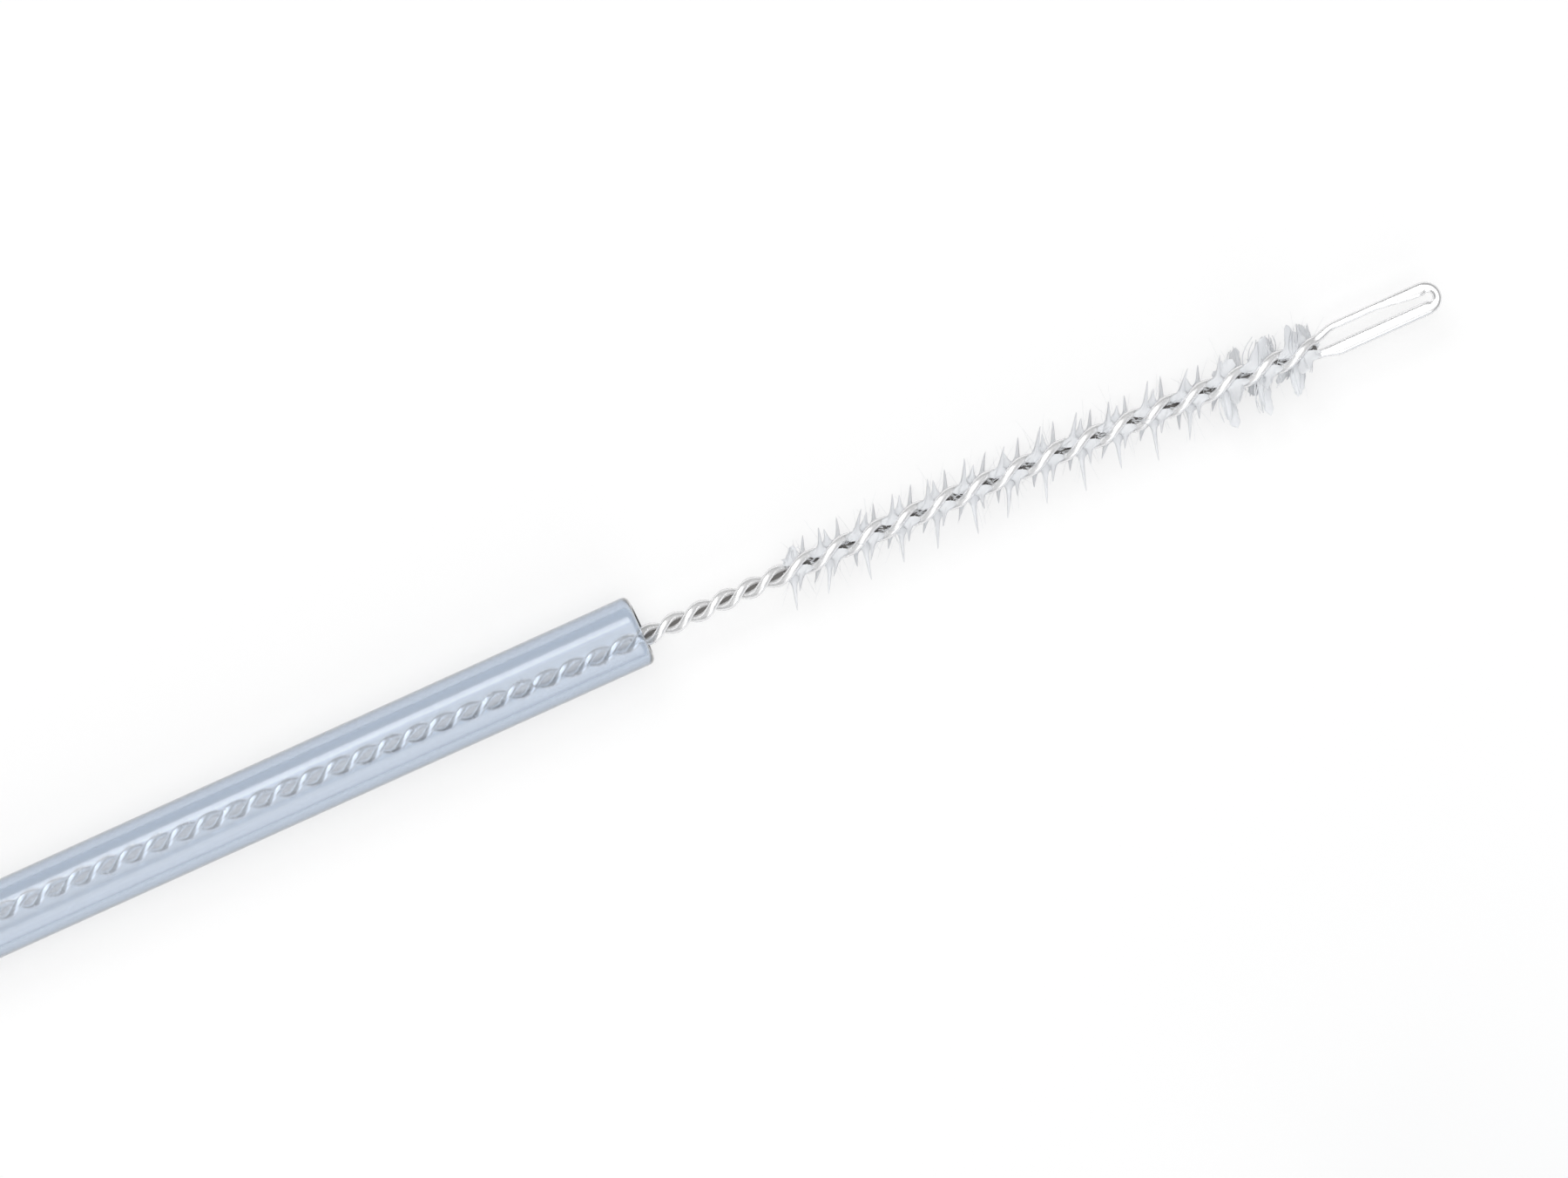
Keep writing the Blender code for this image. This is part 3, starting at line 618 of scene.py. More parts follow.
def set_floor():
    """A wide level floor just under the object."""
    half = FLOOR_HALF
    corners = [(-half, -half, 0), (half, -half, 0), (half, half, 0), (-half, half, 0)]
    floor = piece("floor", [(corners, [(0, 1, 2, 3)])], floor_finish(), (0, 0, -FLOOR_DROP))


def softbox(name, place, target, wide, long, radiance):
    """An area lamp that looks at a point. The camera doesn't see it."""
    lamp = bpy.data.lights.new(name, "AREA")
    lamp.shape = "RECTANGLE"
    lamp.size = long
    lamp.size_y = wide
    lamp.energy = radiance * math.pi * wide * long
    made = bpy.data.objects.new(name, lamp)
    bpy.context.collection.objects.link(made)
    made.location = place
    made.rotation_mode = "QUATERNION"
    made.rotation_quaternion = (Vector(target) - Vector(place)).to_track_quat("-Z", "Y")
    made.visible_camera = False


def set_lamps(middle):
    """One large softbox above and two long ones beside the sheath."""
    softbox("key", middle + Vector(KEY_PLACE), middle, KEY_SIZE, KEY_SIZE, KEY_RADIANCE)
    for name, degrees, wide, radiance in STRIPS:
        turn = math.radians(degrees)
        aside = Vector((STRIP_BACK, math.sin(turn) * STRIP_DISTANCE, math.cos(turn) * STRIP_DISTANCE))
        softbox(name, middle + aside, middle, wide, STRIP_LENGTH, radiance)


def set_camera(mouth):
    """The photograph's view: straight down, turned so that the sheath rises to the right."""
    across = (PHOTO_WIDTH / 2 - MOUTH_PIXEL[0]) / PIXELS_PER_MM * MM
    up = (MOUTH_PIXEL[1] - PHOTO_HEIGHT / 2) / PIXELS_PER_MM * MM
    right = Vector((math.cos(SHEATH_TILT), -math.sin(SHEATH_TILT), 0.0))
    over = Vector((math.sin(SHEATH_TILT), math.cos(SHEATH_TILT), 0.0))
    frame_width = PHOTO_WIDTH / PIXELS_PER_MM * MM
    lens = bpy.data.cameras.new("camera")
    lens.lens = LENS
    lens.sensor_width = SENSOR
    lens.clip_start = 0.001
    lens.clip_end = 20.0
    camera = bpy.data.objects.new("camera", lens)
    bpy.context.collection.objects.link(camera)
    camera.location = mouth + right * across + over * up + Vector((0, 0, frame_width * LENS / SENSOR))
    camera.rotation_euler = (0.0, 0.0, -SHEATH_TILT)
    bpy.context.scene.camera = camera


# Cord: the sheath from the strain relief to the straight stretch

def smooth_through(route, steps):
    """A smooth curve through a few points."""
    points = [Vector(p) for p in route]
    curve = [points[0]] + points + [points[-1]]
    path = []
    for a, b, c, d in zip(curve, curve[1:], curve[2:], curve[3:]):
        for step in range(steps):
            t = step / steps
            path.append(0.5 * (
                2 * b
                + (c - a) * t
                + (2 * a - 5 * b + 4 * c - d) * t ** 2
                + (3 * b - a - 3 * c + d) * t ** 3
            ))
    return path + [points[-1]]


def coil_lanes():
    """The coil's turns in winding order, as (radius, height)."""
    low, high = SHEATH_RADIUS, SHEATH_RADIUS + LAYER_RISE
    inwards = [(COIL_MEAN + (3 - 2 * i) * SHEATH_RADIUS, high) for i in range(4)]
    outwards = [(COIL_MEAN + (2 * i - 4) * SHEATH_RADIUS, low) for i in range(5)]
    return inwards + outwards


def coil_point(middle, degrees):
    """A point of the coil, so many degrees along it. Each turn changes lane on the +X side."""
    lanes = coil_lanes()
    first = 270
    i = min(max(math.floor((degrees - first + CROSSOVER) / 360), 0), len(lanes) - 2)
    share = (degrees - first - 360 * i + CROSSOVER) / (2 * CROSSOVER)
    (r0, z0), (r1, z1) = lanes[i], lanes[i + 1]
    hump = CROSSOVER_HUMP * math.sin(math.pi * min(max(share, 0.0), 1.0)) ** 0.5
    if z1 < z0:
        radius = r0 + (r1 - r0) * smooth_step(share / 0.7)
        height = z0 + (z1 - z0) * smooth_step(share * 2 - 1) + hump * smooth_step(2 - share * 2)
    else:
        radius = r0 + (r1 - r0) * smooth_step(share)
        height = z0 + (hump if z0 > SHEATH_RADIUS * 1.5 else 0.0)
    turn = math.radians(first - degrees)
    return Vector((middle.x + radius * math.cos(turn), middle.y + radius * math.sin(turn), height))


def cord_path(relief, coil, mouth):
    """From the strain relief down to the coil, round it, and out to the straight sheath."""
    coil_outer = COIL_MEAN + 5 * SHEATH_RADIUS
    chord = math.sqrt(coil_outer ** 2 - (ENTRY_LANE - SHEATH_RADIUS) ** 2)
    start = relief + Vector((-FACE_GAP, 0, 0))
    end = Vector((coil.x + chord + FACE_GAP, coil.y - ENTRY_LANE, SHEATH_RADIUS + LAYER_RISE))
    straight = Vector((LEAD_STRAIGHT, 0, 0))
    sag = Vector((0, 0, LEAD_SAG))
    route = [start, start - straight, (start + end) / 2 - sag, end + straight, end]
    path = [relief] + smooth_through(route, LEAD_STEPS)
    inside = chord + FACE_GAP
    for x in even(0.0, inside, PATH_STEP)[-2:0:-1]:
        hump = CROSSOVER_HUMP * math.sin(math.pi * x / inside) ** 0.5
        path.append(Vector((coil.x + x, coil.y - ENTRY_LANE, SHEATH_RADIUS + LAYER_RISE + hump)))
    total = 360 * (len(coil_lanes()) - 1) + 180
    path += [coil_point(coil, degrees) for degrees in range(0, total + 1, TURN_STEP)]
    rear = mouth.x - SHEATH_STRAIGHT
    path += [Vector((x, mouth.y, SHEATH_RADIUS)) for x in even(coil.x, rear, PATH_STEP)[1:]]
    return path


def tube(path):
    """A tube with a bore along a path, its two ends closed by flat rims."""
    outer = rings_along(path, SHEATH_RADIUS, SHEATH_RADIUS, CORD_SIDES)
    bore = rings_along(path, BORE_RADIUS, BORE_RADIUS, CORD_SIDES)
    points, faces = skin(outer, caps=False)
    more, inner = skin(bore, caps=False)
    shift = len(points)
    faces += [tuple(shift + i for i in face[::-1]) for face in inner]
    last = (len(path) - 1) * CORD_SIDES
    for j in range(CORD_SIDES):
        k = (j + 1) % CORD_SIDES
        faces.append((k, j, shift + j, shift + k))
        faces.append((last + j, last + k, shift + last + k, shift + last + j))
    return np.concatenate([points, more]), faces


def resample(path, step):
    """The same path with points one step apart."""
    path = np.array([tuple(p) for p in path])
    lengths = np.concatenate([[0], np.cumsum(np.linalg.norm(np.diff(path, axis=0), axis=1))])
    places = np.linspace(0, lengths[-1], max(2, round(lengths[-1] / step)))
    return np.stack([np.interp(places, lengths, path[:, i]) for i in range(3)], axis=1), places


def twisted_core(path):
    """The two strands along the middle of the coiled sheath's bore."""
    path, places = resample(path, BARE_PITCH / CORE_STEPS)
    across, up = across_and_up(path)
    parts = []
    for half_turn in (0, 1):
        angle = -math.tau * places / BARE_PITCH + math.pi * half_turn
        strand = (
            path
            + across * (BARE_RADIUS * np.cos(angle))[:, None]
            + up * (BARE_RADIUS * np.sin(angle))[:, None]
        )
        parts.append(skin(rings_along(strand, STRAND_RADIUS, STRAND_RADIUS, CORE_SIDES)))
    return parts


# Wire

def brush_wire_rings():
    """Up one strand, round the flared loop and back down the other strand."""
    path, wide = [], []
    twisted = even(-WIRE_TAIL, LOOP_START, BRUSH_PITCH / WIRE_STEPS)[:-1]
    legs = even(LOOP_START, TIP_CENTRE, LEG_STEP)
    for x in twisted:
        path.append(strand_point(x, 0))
        wide.append(STRAND_RADIUS)
    for x in legs:
        near = smooth_step((x - LOOP_START) / LEG_SPREAD)
        far = smooth_step((x - TIP_CENTRE) / FLARE_LENGTH + 1)
        leg = STRAND_RADIUS + (UPPER_LEG - STRAND_RADIUS) * near
        wide.append(leg + (TIP_FLARE - leg) * far)
        path.append(shifted(leg_point(x, 1), STRAND_RADIUS - wide[-1]))
    for i in range(1, TIP_STEPS):
        turn = math.pi * (0.5 - i / TIP_STEPS)
        round_tip = math.sin(math.pi * i / TIP_STEPS)
        start = TIP_FLARE + (LOWER_LEG - TIP_FLARE) * i / TIP_STEPS
        wide.append(start + (STRAND_RADIUS - start) * round_tip)
        reach = LEG_EDGE - wide[-1]
        path.append((
            TIP_CENTRE + reach * math.cos(turn),
            wire_side(TIP_CENTRE) + reach * math.sin(turn),
            0.0,
        ))
    for x in reversed(legs):
        near = smooth_step((x - LOOP_START) / LEG_SPREAD)
        wide.append(STRAND_RADIUS + (LOWER_LEG - STRAND_RADIUS) * near)
        path.append(shifted(leg_point(x, -1), wide[-1] - STRAND_RADIUS))
    for x in reversed(twisted):
        path.append(strand_point(x, 1))
        wide.append(STRAND_RADIUS)
    return rings_along(path, np.array(wide), STRAND_RADIUS, WIRE_SIDES)


def painted_web_parts(start, end):
    """A thin web from strand to strand in the twisted strands' grooves, to carry painted shade or light.
    """
    rings = []
    for x in even(start, end, BARE_PITCH / GROOVE_STEPS):
        angle = twist_angle(x)
        across = np.array((0.0, math.cos(angle), math.sin(angle)))
        up = np.array((0.0, -math.sin(angle), math.cos(angle)))
        middle = np.array((x, wire_side(x), 0.0))
        rings.append([
            middle + across * twist_radius(x), middle + up * GROOVE_THICK,
            middle - across * twist_radius(x), middle - up * GROOVE_THICK,
        ])
    return skin(np.array(rings))


def drive_wire_parts():
    """The two strands inside the straight sheath, up to where the brush wire begins."""
    parts = []
    xs = even(-SHEATH_STRAIGHT, -WIRE_TAIL, BARE_PITCH / GROOVE_STEPS)
    for half_turn in (0, 1):
        path = [strand_point(x, half_turn) for x in xs]
        parts.append(skin(rings_along(path, STRAND_RADIUS, STRAND_RADIUS, DRIVE_SIDES)))
    return parts


# Bristles

def tuft_frame(x):
    """A tuft's middle, its way out, along the wire and across its flat side."""
    angle = twist_angle(x) + math.pi / 2
    if math.cos(angle) < -0.001 or (abs(math.cos(angle)) <= 0.001 and math.sin(angle) < 0):
        angle += math.pi
    out = np.array((
        math.sin(TUFT_LEAN),
        math.cos(TUFT_LEAN) * math.cos(angle),
        math.cos(TUFT_LEAN) * math.sin(angle),
    ))
    flat = np.array((0.0, -math.sin(angle), math.cos(angle)))
    return np.array((x, wire_side(x), 0.0)), out, np.cross(out, flat), flat


def thorn_width(distance, reach, wide):
    """Half a thorn's width: flared at the wire and nearly a point at its tip."""
    past = max(distance - THORN_ROOT, 0.0)
    share = min(past / (reach - THORN_ROOT), 1.0)
    if wide > 1:
        body = THORN_WIDE * wide * math.sqrt(1 - share ** 4)
    else:
        body = THORN_WIDE * (1 - share) ** 0.8
    return body + THORN_FLARE * math.exp(-past / THORN_FALL)


def thorn_thick(distance, reach):
    """Half a thorn's thickness: deeper between the strands and thin at its tip."""
    return THORN_THICK * (1 - 0.8 * distance / reach) + ROOT_THICK * math.exp(-distance / THORN_ROOT)


def hair(path, radius, point, upright):
    """One filament along a path, thinner towards its tip."""
    share = np.linspace(0, 1, len(path))
    radii = radius + (point - radius) * share ** 2
    return skin(rings_along(path, radii, radii, HAIR_SIDES, upright))


def thorn(x, side, reach, bend, wide, chance):
    """One side of a tuft: filaments from along the wire that draw together to a tip."""
    middle, out, along, flat = tuft_frame(x)
    parts = []
    for i in range(THORN_HAIRS):
        u = 2 * (i + chance.random()) / THORN_HAIRS - 1
        v = chance.uniform(-1, 1)
        own_reach = reach * chance.uniform(0.80, 1.03) * (1 - 0.12 * u * u)
        root, root_out, _, _ = tuft_frame(x + u * ROOT_TURN * BRUSH_PITCH)
        if root_out @ out < 0:
            root_out = -root_out
        path = []
        for distance in np.linspace(HAIR_START, own_reach, HAIR_STEPS):
            width = thorn_width(distance, reach, wide)
            sag = bend * (distance / reach) ** 2
            thick = thorn_thick(distance, reach)
            gathered = middle + side * out * distance + along * (u * width + sag) + flat * v * thick
            straight = root + side * root_out * distance
            share = smooth_step((distance - GATHER_START) / GATHER_LENGTH)
            path.append(straight + (gathered - straight) * share)
        parts.append(hair(path, HAIR_RADIUS, HAIR_POINT, along))
    body, widths, thicks = [], [], []
    if wide > 1:
        parts += [curl(middle, side * out, along, flat, reach, wide, chance) for _ in range(CLUMP_CURLS)]
    for share in np.linspace(0, 1, BODY_STEPS):
        distance = BODY_START + (reach - BODY_START) * share
        body.append(middle + side * out * distance + along * (bend * (distance / reach) ** 2))
        lump = chance.uniform(0.7, 1.15) if wide > 1 else 1.0
        widths.append(thorn_width(distance, reach, wide) * lump + BODY_POINT)
        thicks.append(thorn_thick(distance, reach))
    parts.append(skin(rings_along(body, np.array(widths), np.array(thicks), BODY_SIDES, flat)))
    return parts


def curl(middle, out, along, flat, reach, wide, chance):
    """One bent filament that stands proud of a clump."""
    start = chance.uniform(-1, 1) * THORN_WIDE * wide
    turn = chance.uniform(-1, 1) * CURL_REACH
    rise = chance.uniform(-1, 1) * THORN_THICK * 1.5
    own_reach = reach * chance.uniform(0.75, 1.0)
    path = []
    for distance in np.linspace(CURL_START, own_reach, HAIR_STEPS):
        share = distance / own_reach
        aside = start * (1 - share) + turn * math.sin(share * CURL_PHASE)
        path.append(middle + out * distance + flat * rise + along * aside)
    return hair(path, HAIR_RADIUS * 1.8, HAIR_RADIUS, along)


def halo(x, reach, chance):
    """Thin single filaments that stray from a tuft on both sides."""
    middle, out, along, flat = tuft_frame(x)
    parts = []
    for _ in range(HALO_HAIRS):
        side = chance.choice((-1, 1))
        way = side * out + flat * chance.uniform(-1, 1) * 0.2 + along * chance.gauss(0, HALO_LEAN)
        way /= np.linalg.norm(way)
        bow = along * chance.uniform(-1, 1) * 0.2 * MM
        own_reach = reach * chance.uniform(0.6, 1.05)
        path = [
            middle + way * distance + bow * (distance / own_reach) ** 2
            for distance in np.linspace(HALO_START, own_reach, HALO_STEPS)
        ]
        parts.append(hair(path, HALO_RADIUS, HALO_RADIUS * 0.6, along))
    return parts


def end_on(x, chance):
    """Filaments that stand towards and away from the table, between two tufts."""
    middle, out, along, flat = tuft_frame(x)
    parts = []
    for i in range(FACE_HAIRS):
        side = 1 if i % 3 else -1
        way = side * out + flat * chance.gauss(0, 0.16) + along * chance.gauss(0, 0.16)
        start = middle + along * chance.uniform(-0.12, 0.12) * MM
        start += flat * chance.uniform(-0.05, 0.05) * MM
        own_reach = FACE_REACH * chance.uniform(0.7, 1.1)
        path = [start + way * distance for distance in np.linspace(0, own_reach, FACE_STEPS)]
        parts.append(hair(path, HAIR_RADIUS, HAIR_POINT, along))
    return parts


def tufts():
    """Each tuft's node (or none), its piece's name, its place along the wire and its parts."""
    sizes = random.Random(7)
    chance = random.Random(11)
    number = 0
    made = []
    for group in range(TUFT_GROUPS):
        middle = LOOP_START - BRUSH_PITCH / 4 - BRUSH_PITCH / 2 * (TUFT_GROUPS - 1 - group)
        for turn in TUFT_TURNS:
            x = middle + BRUSH_PITCH * turn
            if x < BRUSH_START + STRAND_RADIUS:
                continue
            number += 1
            up, down = (TUFT_SHORT, TUFT_LONG) if turn == 0 else (TUFT_SIDE_UP, TUFT_SIDE_DOWN)
            up *= 1 + sizes.uniform(-TUFT_SPREAD, TUFT_SPREAD / 2)
            down *= 1 + sizes.uniform(-TUFT_SPREAD, TUFT_SPREAD / 2)
            bend = sizes.uniform(-1, 1) * TUFT_BEND
            wide = above = 1.0
            if x > LOOP_START - CLUMP_LENGTH:
                wide = CLUMP_WIDE * chance.uniform(0.6, 1.3)
                above = CLUMP_WIDE * chance.uniform(0.6, 1.3)
                bend *= CLUMP_BEND
            elif x < BRUSH_START + FIRST_CLUMP:
                above = CLUMP_WIDE * 0.7
            parts = thorn(x, 1, up, bend, above, chance) + thorn(x, -1, down, bend, wide, chance)
            parts += halo(x, TUFT_LONG, chance)
            made.append((f"tuft_{number:02d}", f"bristles_{number:02d}", x, parts))
        if group:
            x = middle - BRUSH_PITCH / 4
            made.append((None, f"bristles_upright_{group:02d}", x, end_on(x, chance)))
    return made


def sheath_profile(length):
    """The straight sheath's wall, its mouth cut square with softened edges."""
    profile = [(-length, SHEATH_RADIUS), (-length, BORE_RADIUS)]
    for step in range(LIP_STEPS + 1):
        turn = math.radians(90 * step / LIP_STEPS)
        profile.append((
            -LIP_INNER * (1 - math.sin(turn)),
            BORE_RADIUS + LIP_INNER * (1 - math.cos(turn)),
        ))
    for step in range(LIP_STEPS + 1):
        turn = math.radians(90 * step / LIP_STEPS)
        profile.append((
            -LIP_OUTER * (1 - math.cos(turn)),
            SHEATH_RADIUS - LIP_OUTER * (1 - math.sin(turn)),
        ))
    return profile


# Handle

def soft_edge(edge, steps=5):
    """A rounded edge as (along, inset), from the face to the side."""
    turns = [math.radians(90 * i / steps) for i in range(steps + 1)]
    return [(edge * (1 - math.cos(turn)), edge * (1 - math.sin(turn))) for turn in turns]


def handle_body(finish, place):
    """Thumb ring, slotted shaft, collar and hollow spigot."""
    rings = []
    edges = soft_edge(COLLAR_EDGE)
    for x, inset in edges:
        rings.append(section(x, COLLAR_HALF - inset, HALF_HEIGHT - inset, COLLAR_CORNER - inset))
    for x, inset in reversed(edges):
        rings.append(section(
            COLLAR_LENGTH - x, COLLAR_HALF - inset, HALF_HEIGHT - inset, COLLAR_CORNER - inset
        ))
    for x in (COLLAR_LENGTH + SQUARE_STEP, SHAFT_END):
        rings.append(section(x, SHAFT_HALF_WIDTH, SHAFT_HALF_HEIGHT, SHAFT_CORNER))
    for i in range(1, NECK_STEPS + 1):
        share = smooth_step(i / NECK_STEPS)
        rings.append(section(
            SHAFT_END + NECK_LENGTH * i / NECK_STEPS,
            SHAFT_HALF_WIDTH + (NECK_HALF_WIDTH - SHAFT_HALF_WIDTH) * share,
            SHAFT_HALF_HEIGHT + (NECK_HALF_HEIGHT - SHAFT_HALF_HEIGHT) * share,
            SHAFT_CORNER,
        ))
    body = piece("handle_body", [skin(np.array(rings))], finish, place)
    outline = [
        (-HALF_HEIGHT, RING_INNER), (HALF_HEIGHT, RING_INNER),
        (HALF_HEIGHT, RING_OUTER), (-HALF_HEIGHT, RING_OUTER),
    ]
    points, faces = turned(softened(outline, RING_EDGE, 8), RING_SIDES)
    ring_place = place + Vector((SHAFT_END + NECK_LENGTH / 2 + RING_OUTER, 0, 0))
    ring = piece("ring_shape", [(points[:, [1, 2, 0]], faces)], finish, ring_place)
    spigot = rod([(-SPIGOT_LENGTH, SPIGOT_RADIUS), (COLLAR_LENGTH / 2, SPIGOT_RADIUS)], CAP_SIDES)
    slot = section(SLOT_FRONT, SLOT_HALF, 2 * HALF_HEIGHT, SLOT_CORNER)
    slot_end = section(SLOT_REAR, SLOT_HALF, 2 * HALF_HEIGHT, SLOT_CORNER)
    seat_end = SEAT_DEPTH - SPIGOT_LENGTH
    bore = rod([
        (-SPIGOT_LENGTH - CUT_PAST, SEAT_RADIUS), (seat_end, SEAT_RADIUS),
        (seat_end + SQUARE_STEP, GUIDE_RADIUS), (SLOT_FRONT + CUT_PAST, GUIDE_RADIUS),
    ], CUT_SIDES)
    return carved(body, [
        (ring, "UNION"),
        (piece("spigot_shape", [spigot], finish, place), "UNION"),
        (piece("slot_shape", [skin(np.array([slot, slot_end]))], finish, place), "DIFFERENCE"),
        (piece("bore_shape", [bore], finish, place), "DIFFERENCE"),
    ], STEM_CUT_EDGE)


def spool_grip(finish, place):
    """The waisted spool that two fingers slide along the shaft."""
    half = []
    for x, inset in soft_edge(FLANGE_EDGE):
        half.append((x, SPOOL_HALF - inset, HALF_HEIGHT - inset))
    for x, inset in reversed(soft_edge(FLANGE_EDGE)):
        half.append((FLANGE - x, SPOOL_HALF - inset, HALF_HEIGHT - inset / 2))
    for i in range(1, FILLET_STEPS + 1):
        turn = math.radians(90 * i / FILLET_STEPS)
        rise = 1 - math.sin(turn)
        half.append((
            FLANGE + FLANGE_FILLET * (1 - math.cos(turn)),
            SPOOL_WAIST + (SPOOL_HALF - FLANGE_EDGE - SPOOL_WAIST) * rise,
            WAIST_HALF_HEIGHT + (HALF_HEIGHT - FLANGE_EDGE / 2 - WAIST_HALF_HEIGHT) * rise,
        ))
    both = half + [(SPOOL_LENGTH - x, width, height) for x, width, height in reversed(half)]
    rings = [section(x, width, height, height * FLANGE_ROUNDING) for x, width, height in both]
    front = place + Vector((SPOOL_FRONT, 0, 0))
    grip = piece("spool_grip", [skin(np.array(rings))], finish, front)
    passage = [
        section(x, SHAFT_HALF_WIDTH + SLIDE_GAP, SHAFT_HALF_HEIGHT + SLIDE_GAP, SHAFT_CORNER)
        for x in (-CUT_PAST, SPOOL_LENGTH + CUT_PAST)
    ]
    cuts = [(piece("passage_shape", [skin(np.array(passage))], finish, front), "DIFFERENCE")]
    for i, x in enumerate(SCREW_PLACES):
        hole = rod([(0.0, SCREW_HOLE), (2 * HALF_HEIGHT, SCREW_HOLE)], CUT_SIDES, upright=True)
        at = place + Vector((x, 0, 0))
        cuts.append((piece(f"hole_shape_{i}", [hole], finish, at), "DIFFERENCE"))
    return carved(grip, cuts, SPOOL_CUT_EDGE)


def nose_cone(finish, place):
    """The tapered cap in front of the collar."""
    spigot, root, head = SPIGOT_RADIUS + FIT_GAP, RELIEF_ROOT + FIT_GAP, HEAD_RADIUS + FIT_GAP
    bottom = -SPIGOT_LENGTH - END_GAP
    outline = [
        (-FIT_GAP, spigot), (-FIT_GAP, CAP_RADIUS), (-CAP_STRAIGHT, CAP_RADIUS),
        (-CAP_LENGTH, CAP_NOSE), (-CAP_LENGTH, root), (-HEAD_FRONT, root), (-HEAD_FRONT, head),
        (bottom, head), (bottom, spigot),
    ]
    return piece("nose_cone", [turned(softened(outline, CAP_EDGE, 5), CAP_SIDES)], finish, place)


def relief_sleeve(finish, place):
    """The ribbed sleeve round the sheath in front of the cap."""
    bore = SHEATH_RADIUS + FIT_GAP
    back, front = -SPIGOT_LENGTH - END_GAP, END_GAP - HEAD_FRONT
    ribs = -CAP_LENGTH - RELIEF_STEP
    end = ribs - RELIEF_LENGTH
    outline = [
        (back, bore), (back, HEAD_RADIUS), (front, HEAD_RADIUS), (front, RELIEF_ROOT),
        (ribs, RELIEF_ROOT),
    ]
    for rib in range(RELIEF_RIBS):
        start = rib / RELIEF_RIBS
        wide = RELIEF_ROOT + (RELIEF_TIP - RELIEF_ROOT) * start
        for share, depth in RIB_SHAPE:
            x = ribs - RELIEF_LENGTH * (start + share / RELIEF_RIBS)
            outline.append((x, max(wide - depth * RIB_DEPTH, bore + FIT_GAP)))
    outline += [(end, RELIEF_TIP - FIT_GAP), (end, bore)]
    profile = softened(outline, RELIEF_EDGE)
    return piece("relief_sleeve", [turned(profile, RELIEF_SIDES)], finish, place)


# The object

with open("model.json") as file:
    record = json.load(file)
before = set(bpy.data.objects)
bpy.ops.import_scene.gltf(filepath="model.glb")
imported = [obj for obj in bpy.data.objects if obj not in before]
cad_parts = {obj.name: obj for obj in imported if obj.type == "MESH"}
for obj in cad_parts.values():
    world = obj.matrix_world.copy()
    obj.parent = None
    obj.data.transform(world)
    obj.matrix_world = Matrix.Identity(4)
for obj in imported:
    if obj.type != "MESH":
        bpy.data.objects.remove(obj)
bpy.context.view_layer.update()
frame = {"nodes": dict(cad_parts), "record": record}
nodes = frame["nodes"]

sheath_low, sheath_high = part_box("sheath_distal")
mouth = Vector((sheath_high.x, (sheath_low.y + sheath_high.y) / 2, SHEATH_RADIUS))
coil_low, coil_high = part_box("sheath_coil")
coil = Vector(((coil_low.x + coil_high.x) / 2, (coil_low.y + coil_high.y) / 2, 0.0))
relief_low, relief_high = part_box("strain_relief")
relief = Vector((
    relief_low.x, (relief_low.y + relief_high.y) / 2, (relief_low.z + relief_high.z) / 2
))

steel = steel_finish(mouth.x)
nylon = nylon_finish()
sheath = sheath_finish()
white = moulding_finish("white_moulding", (0.86, 0.87, 0.88), (0.80, 0.81, 0.83), 0.4)
blue = moulding_finish("blue_moulding", (0.35, 0.50, 0.68), (0.30, 0.45, 0.63), 0.38)
grey = moulding_finish("grey_sleeve", (0.50, 0.53, 0.57), (0.42, 0.45, 0.49), 0.65)
brass = brass_finish()

bpy.context.scene.view_settings.view_transform = "Standard"
set_camera(mouth)
set_world()
set_floor()
set_lamps(mouth)

path = cord_path(relief, coil, mouth)
cord = piece("sheath_cord", [tube(path)], sheath)
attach(cord, "handle")
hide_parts("sheath_lead", "sheath_coil")
core = piece("cord_wire", twisted_core(path), steel)
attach(core, "handle")

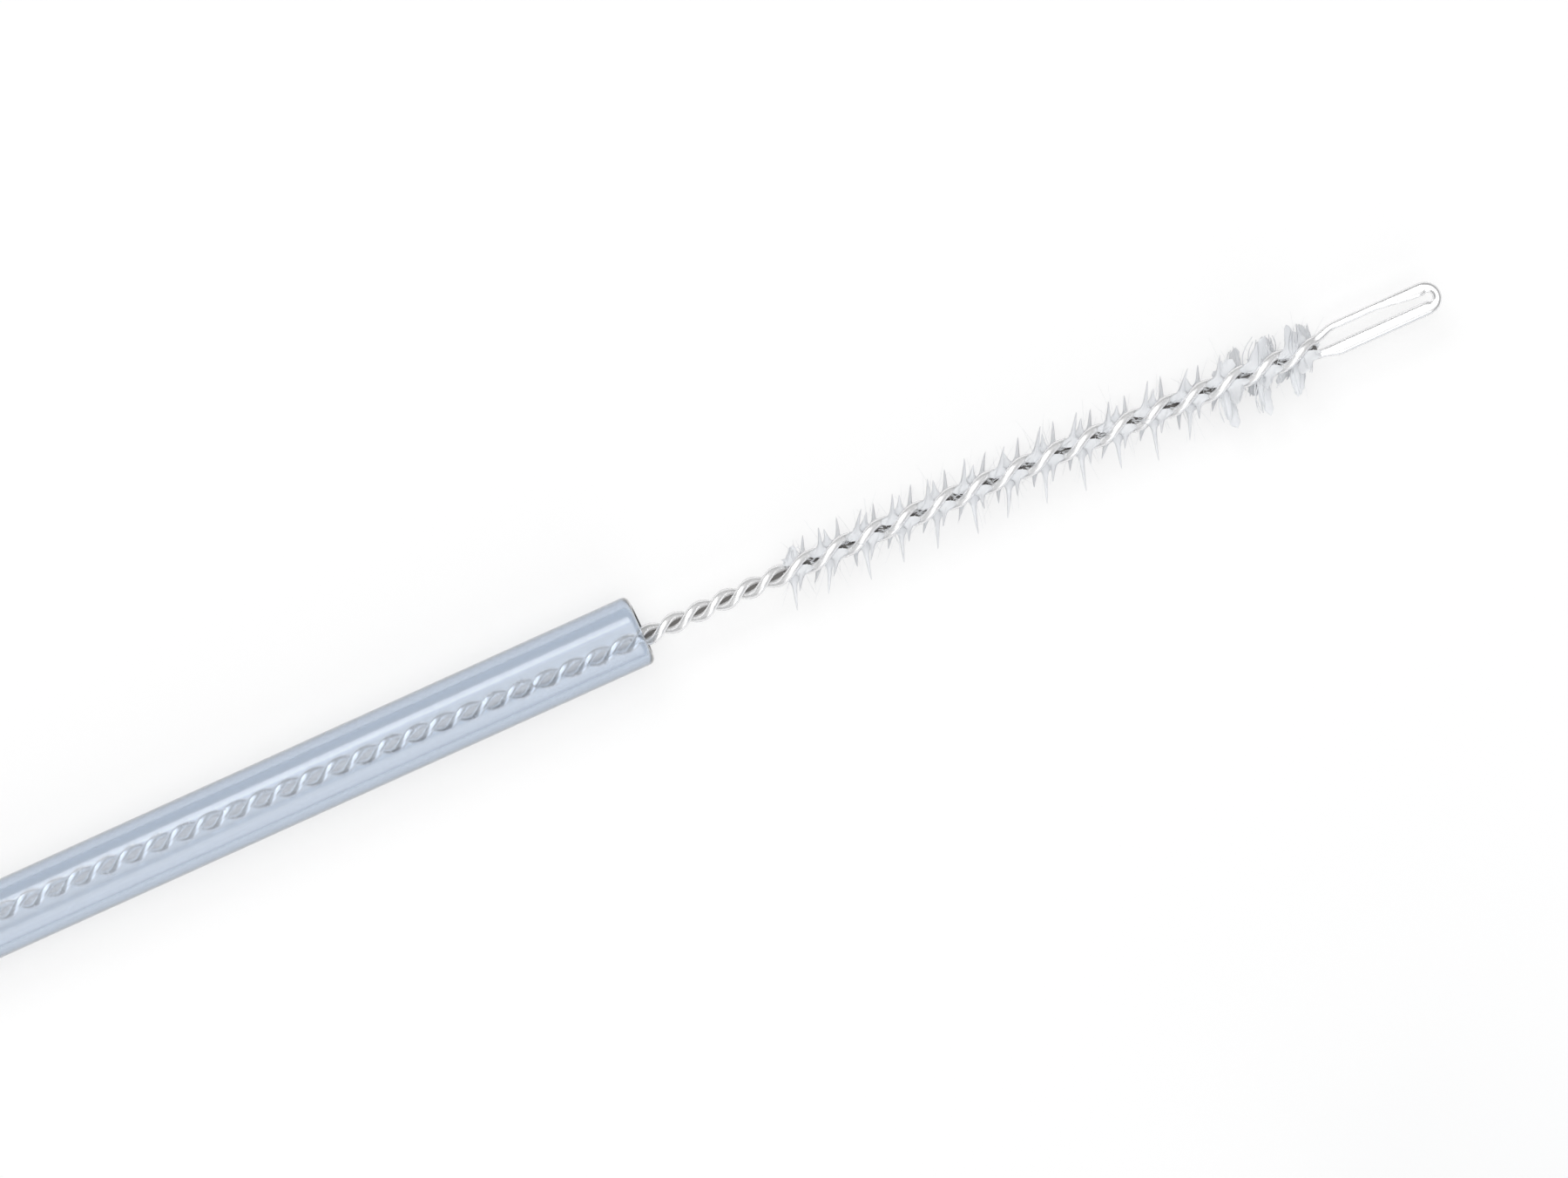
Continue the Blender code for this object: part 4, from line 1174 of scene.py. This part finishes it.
straight_wall = turned(sheath_profile(SHEATH_STRAIGHT), SHEATH_SIDES)
straight = piece("sheath_straight", [straight_wall], sheath, mouth)
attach(straight, "handle")
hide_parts("sheath_distal")

drive = piece("drive_strands", drive_wire_parts(), steel, mouth)
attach(drive, "handle")
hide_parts("drive_wire")

wire = piece("brush_strands", [skin(brush_wire_rings())], steel, mouth)
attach(wire, "brush")
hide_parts("brush_wire")

# Dark web: painted shade between the strands outside the sheath. Pale web: painted light inside it.
shaded = painted_web_finish("painted_shade_web", 0.14)
pale = painted_web_finish("painted_light_web", 0.92)
for name, start, end, finish in (
    ("brush_shade_web", PAINTED_SHADE_FROM, LOOP_START, shaded),
    ("tail_light_web", -WIRE_TAIL, PAINTED_SHADE_FROM, pale),
):
    web = piece(name, [painted_web_parts(start, end)], finish, mouth)
    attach(web, "brush")
drive_web = painted_web_parts(-SHEATH_STRAIGHT, -WIRE_TAIL - GROOVE_GAP)
drive_light_web = piece("drive_light_web", [drive_web], pale, mouth)
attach(drive_light_web, "handle")

for sliding in (drive, drive_light_web):
    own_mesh(sliding)

for node, name, x, parts in tufts():
    bristles = piece(name, parts, nylon, mouth)
    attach(bristles, "brush")
    if node:
        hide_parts(node)
    middle, out, _, _ = tuft_frame(x)
    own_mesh(bristles)

stem_low, stem_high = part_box("handle_stem")
collar = Vector((stem_low.x + SPIGOT_LENGTH, (stem_low.y + stem_high.y) / 2, stem_high.z / 2))
for made, node, body, slot in (
    (handle_body(white, collar), "handle_stem", "handle", "white_moulding"),
    (nose_cone(white, collar), "nose_cap", "handle", "white_moulding"),
    (relief_sleeve(grey, collar), "strain_relief", "handle", "grey_sleeve"),
    (spool_grip(blue, collar), "finger_spool", "spool", "blue_moulding"),
):
    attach(made, body)
    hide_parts(node)

FINISHES = {
    "steel_wire": steel, "nylon_bristle": nylon, "clear_sheath": sheath, "white_moulding": white,
    "blue_moulding": blue, "grey_sleeve": grey, "brass_fitting": brass,
}
for subpart in frame["record"]["subparts"]:
    node = nodes[subpart["node"]]
    node.data.materials.clear()
    node.data.materials.append(FINISHES[subpart["material_slot"]])
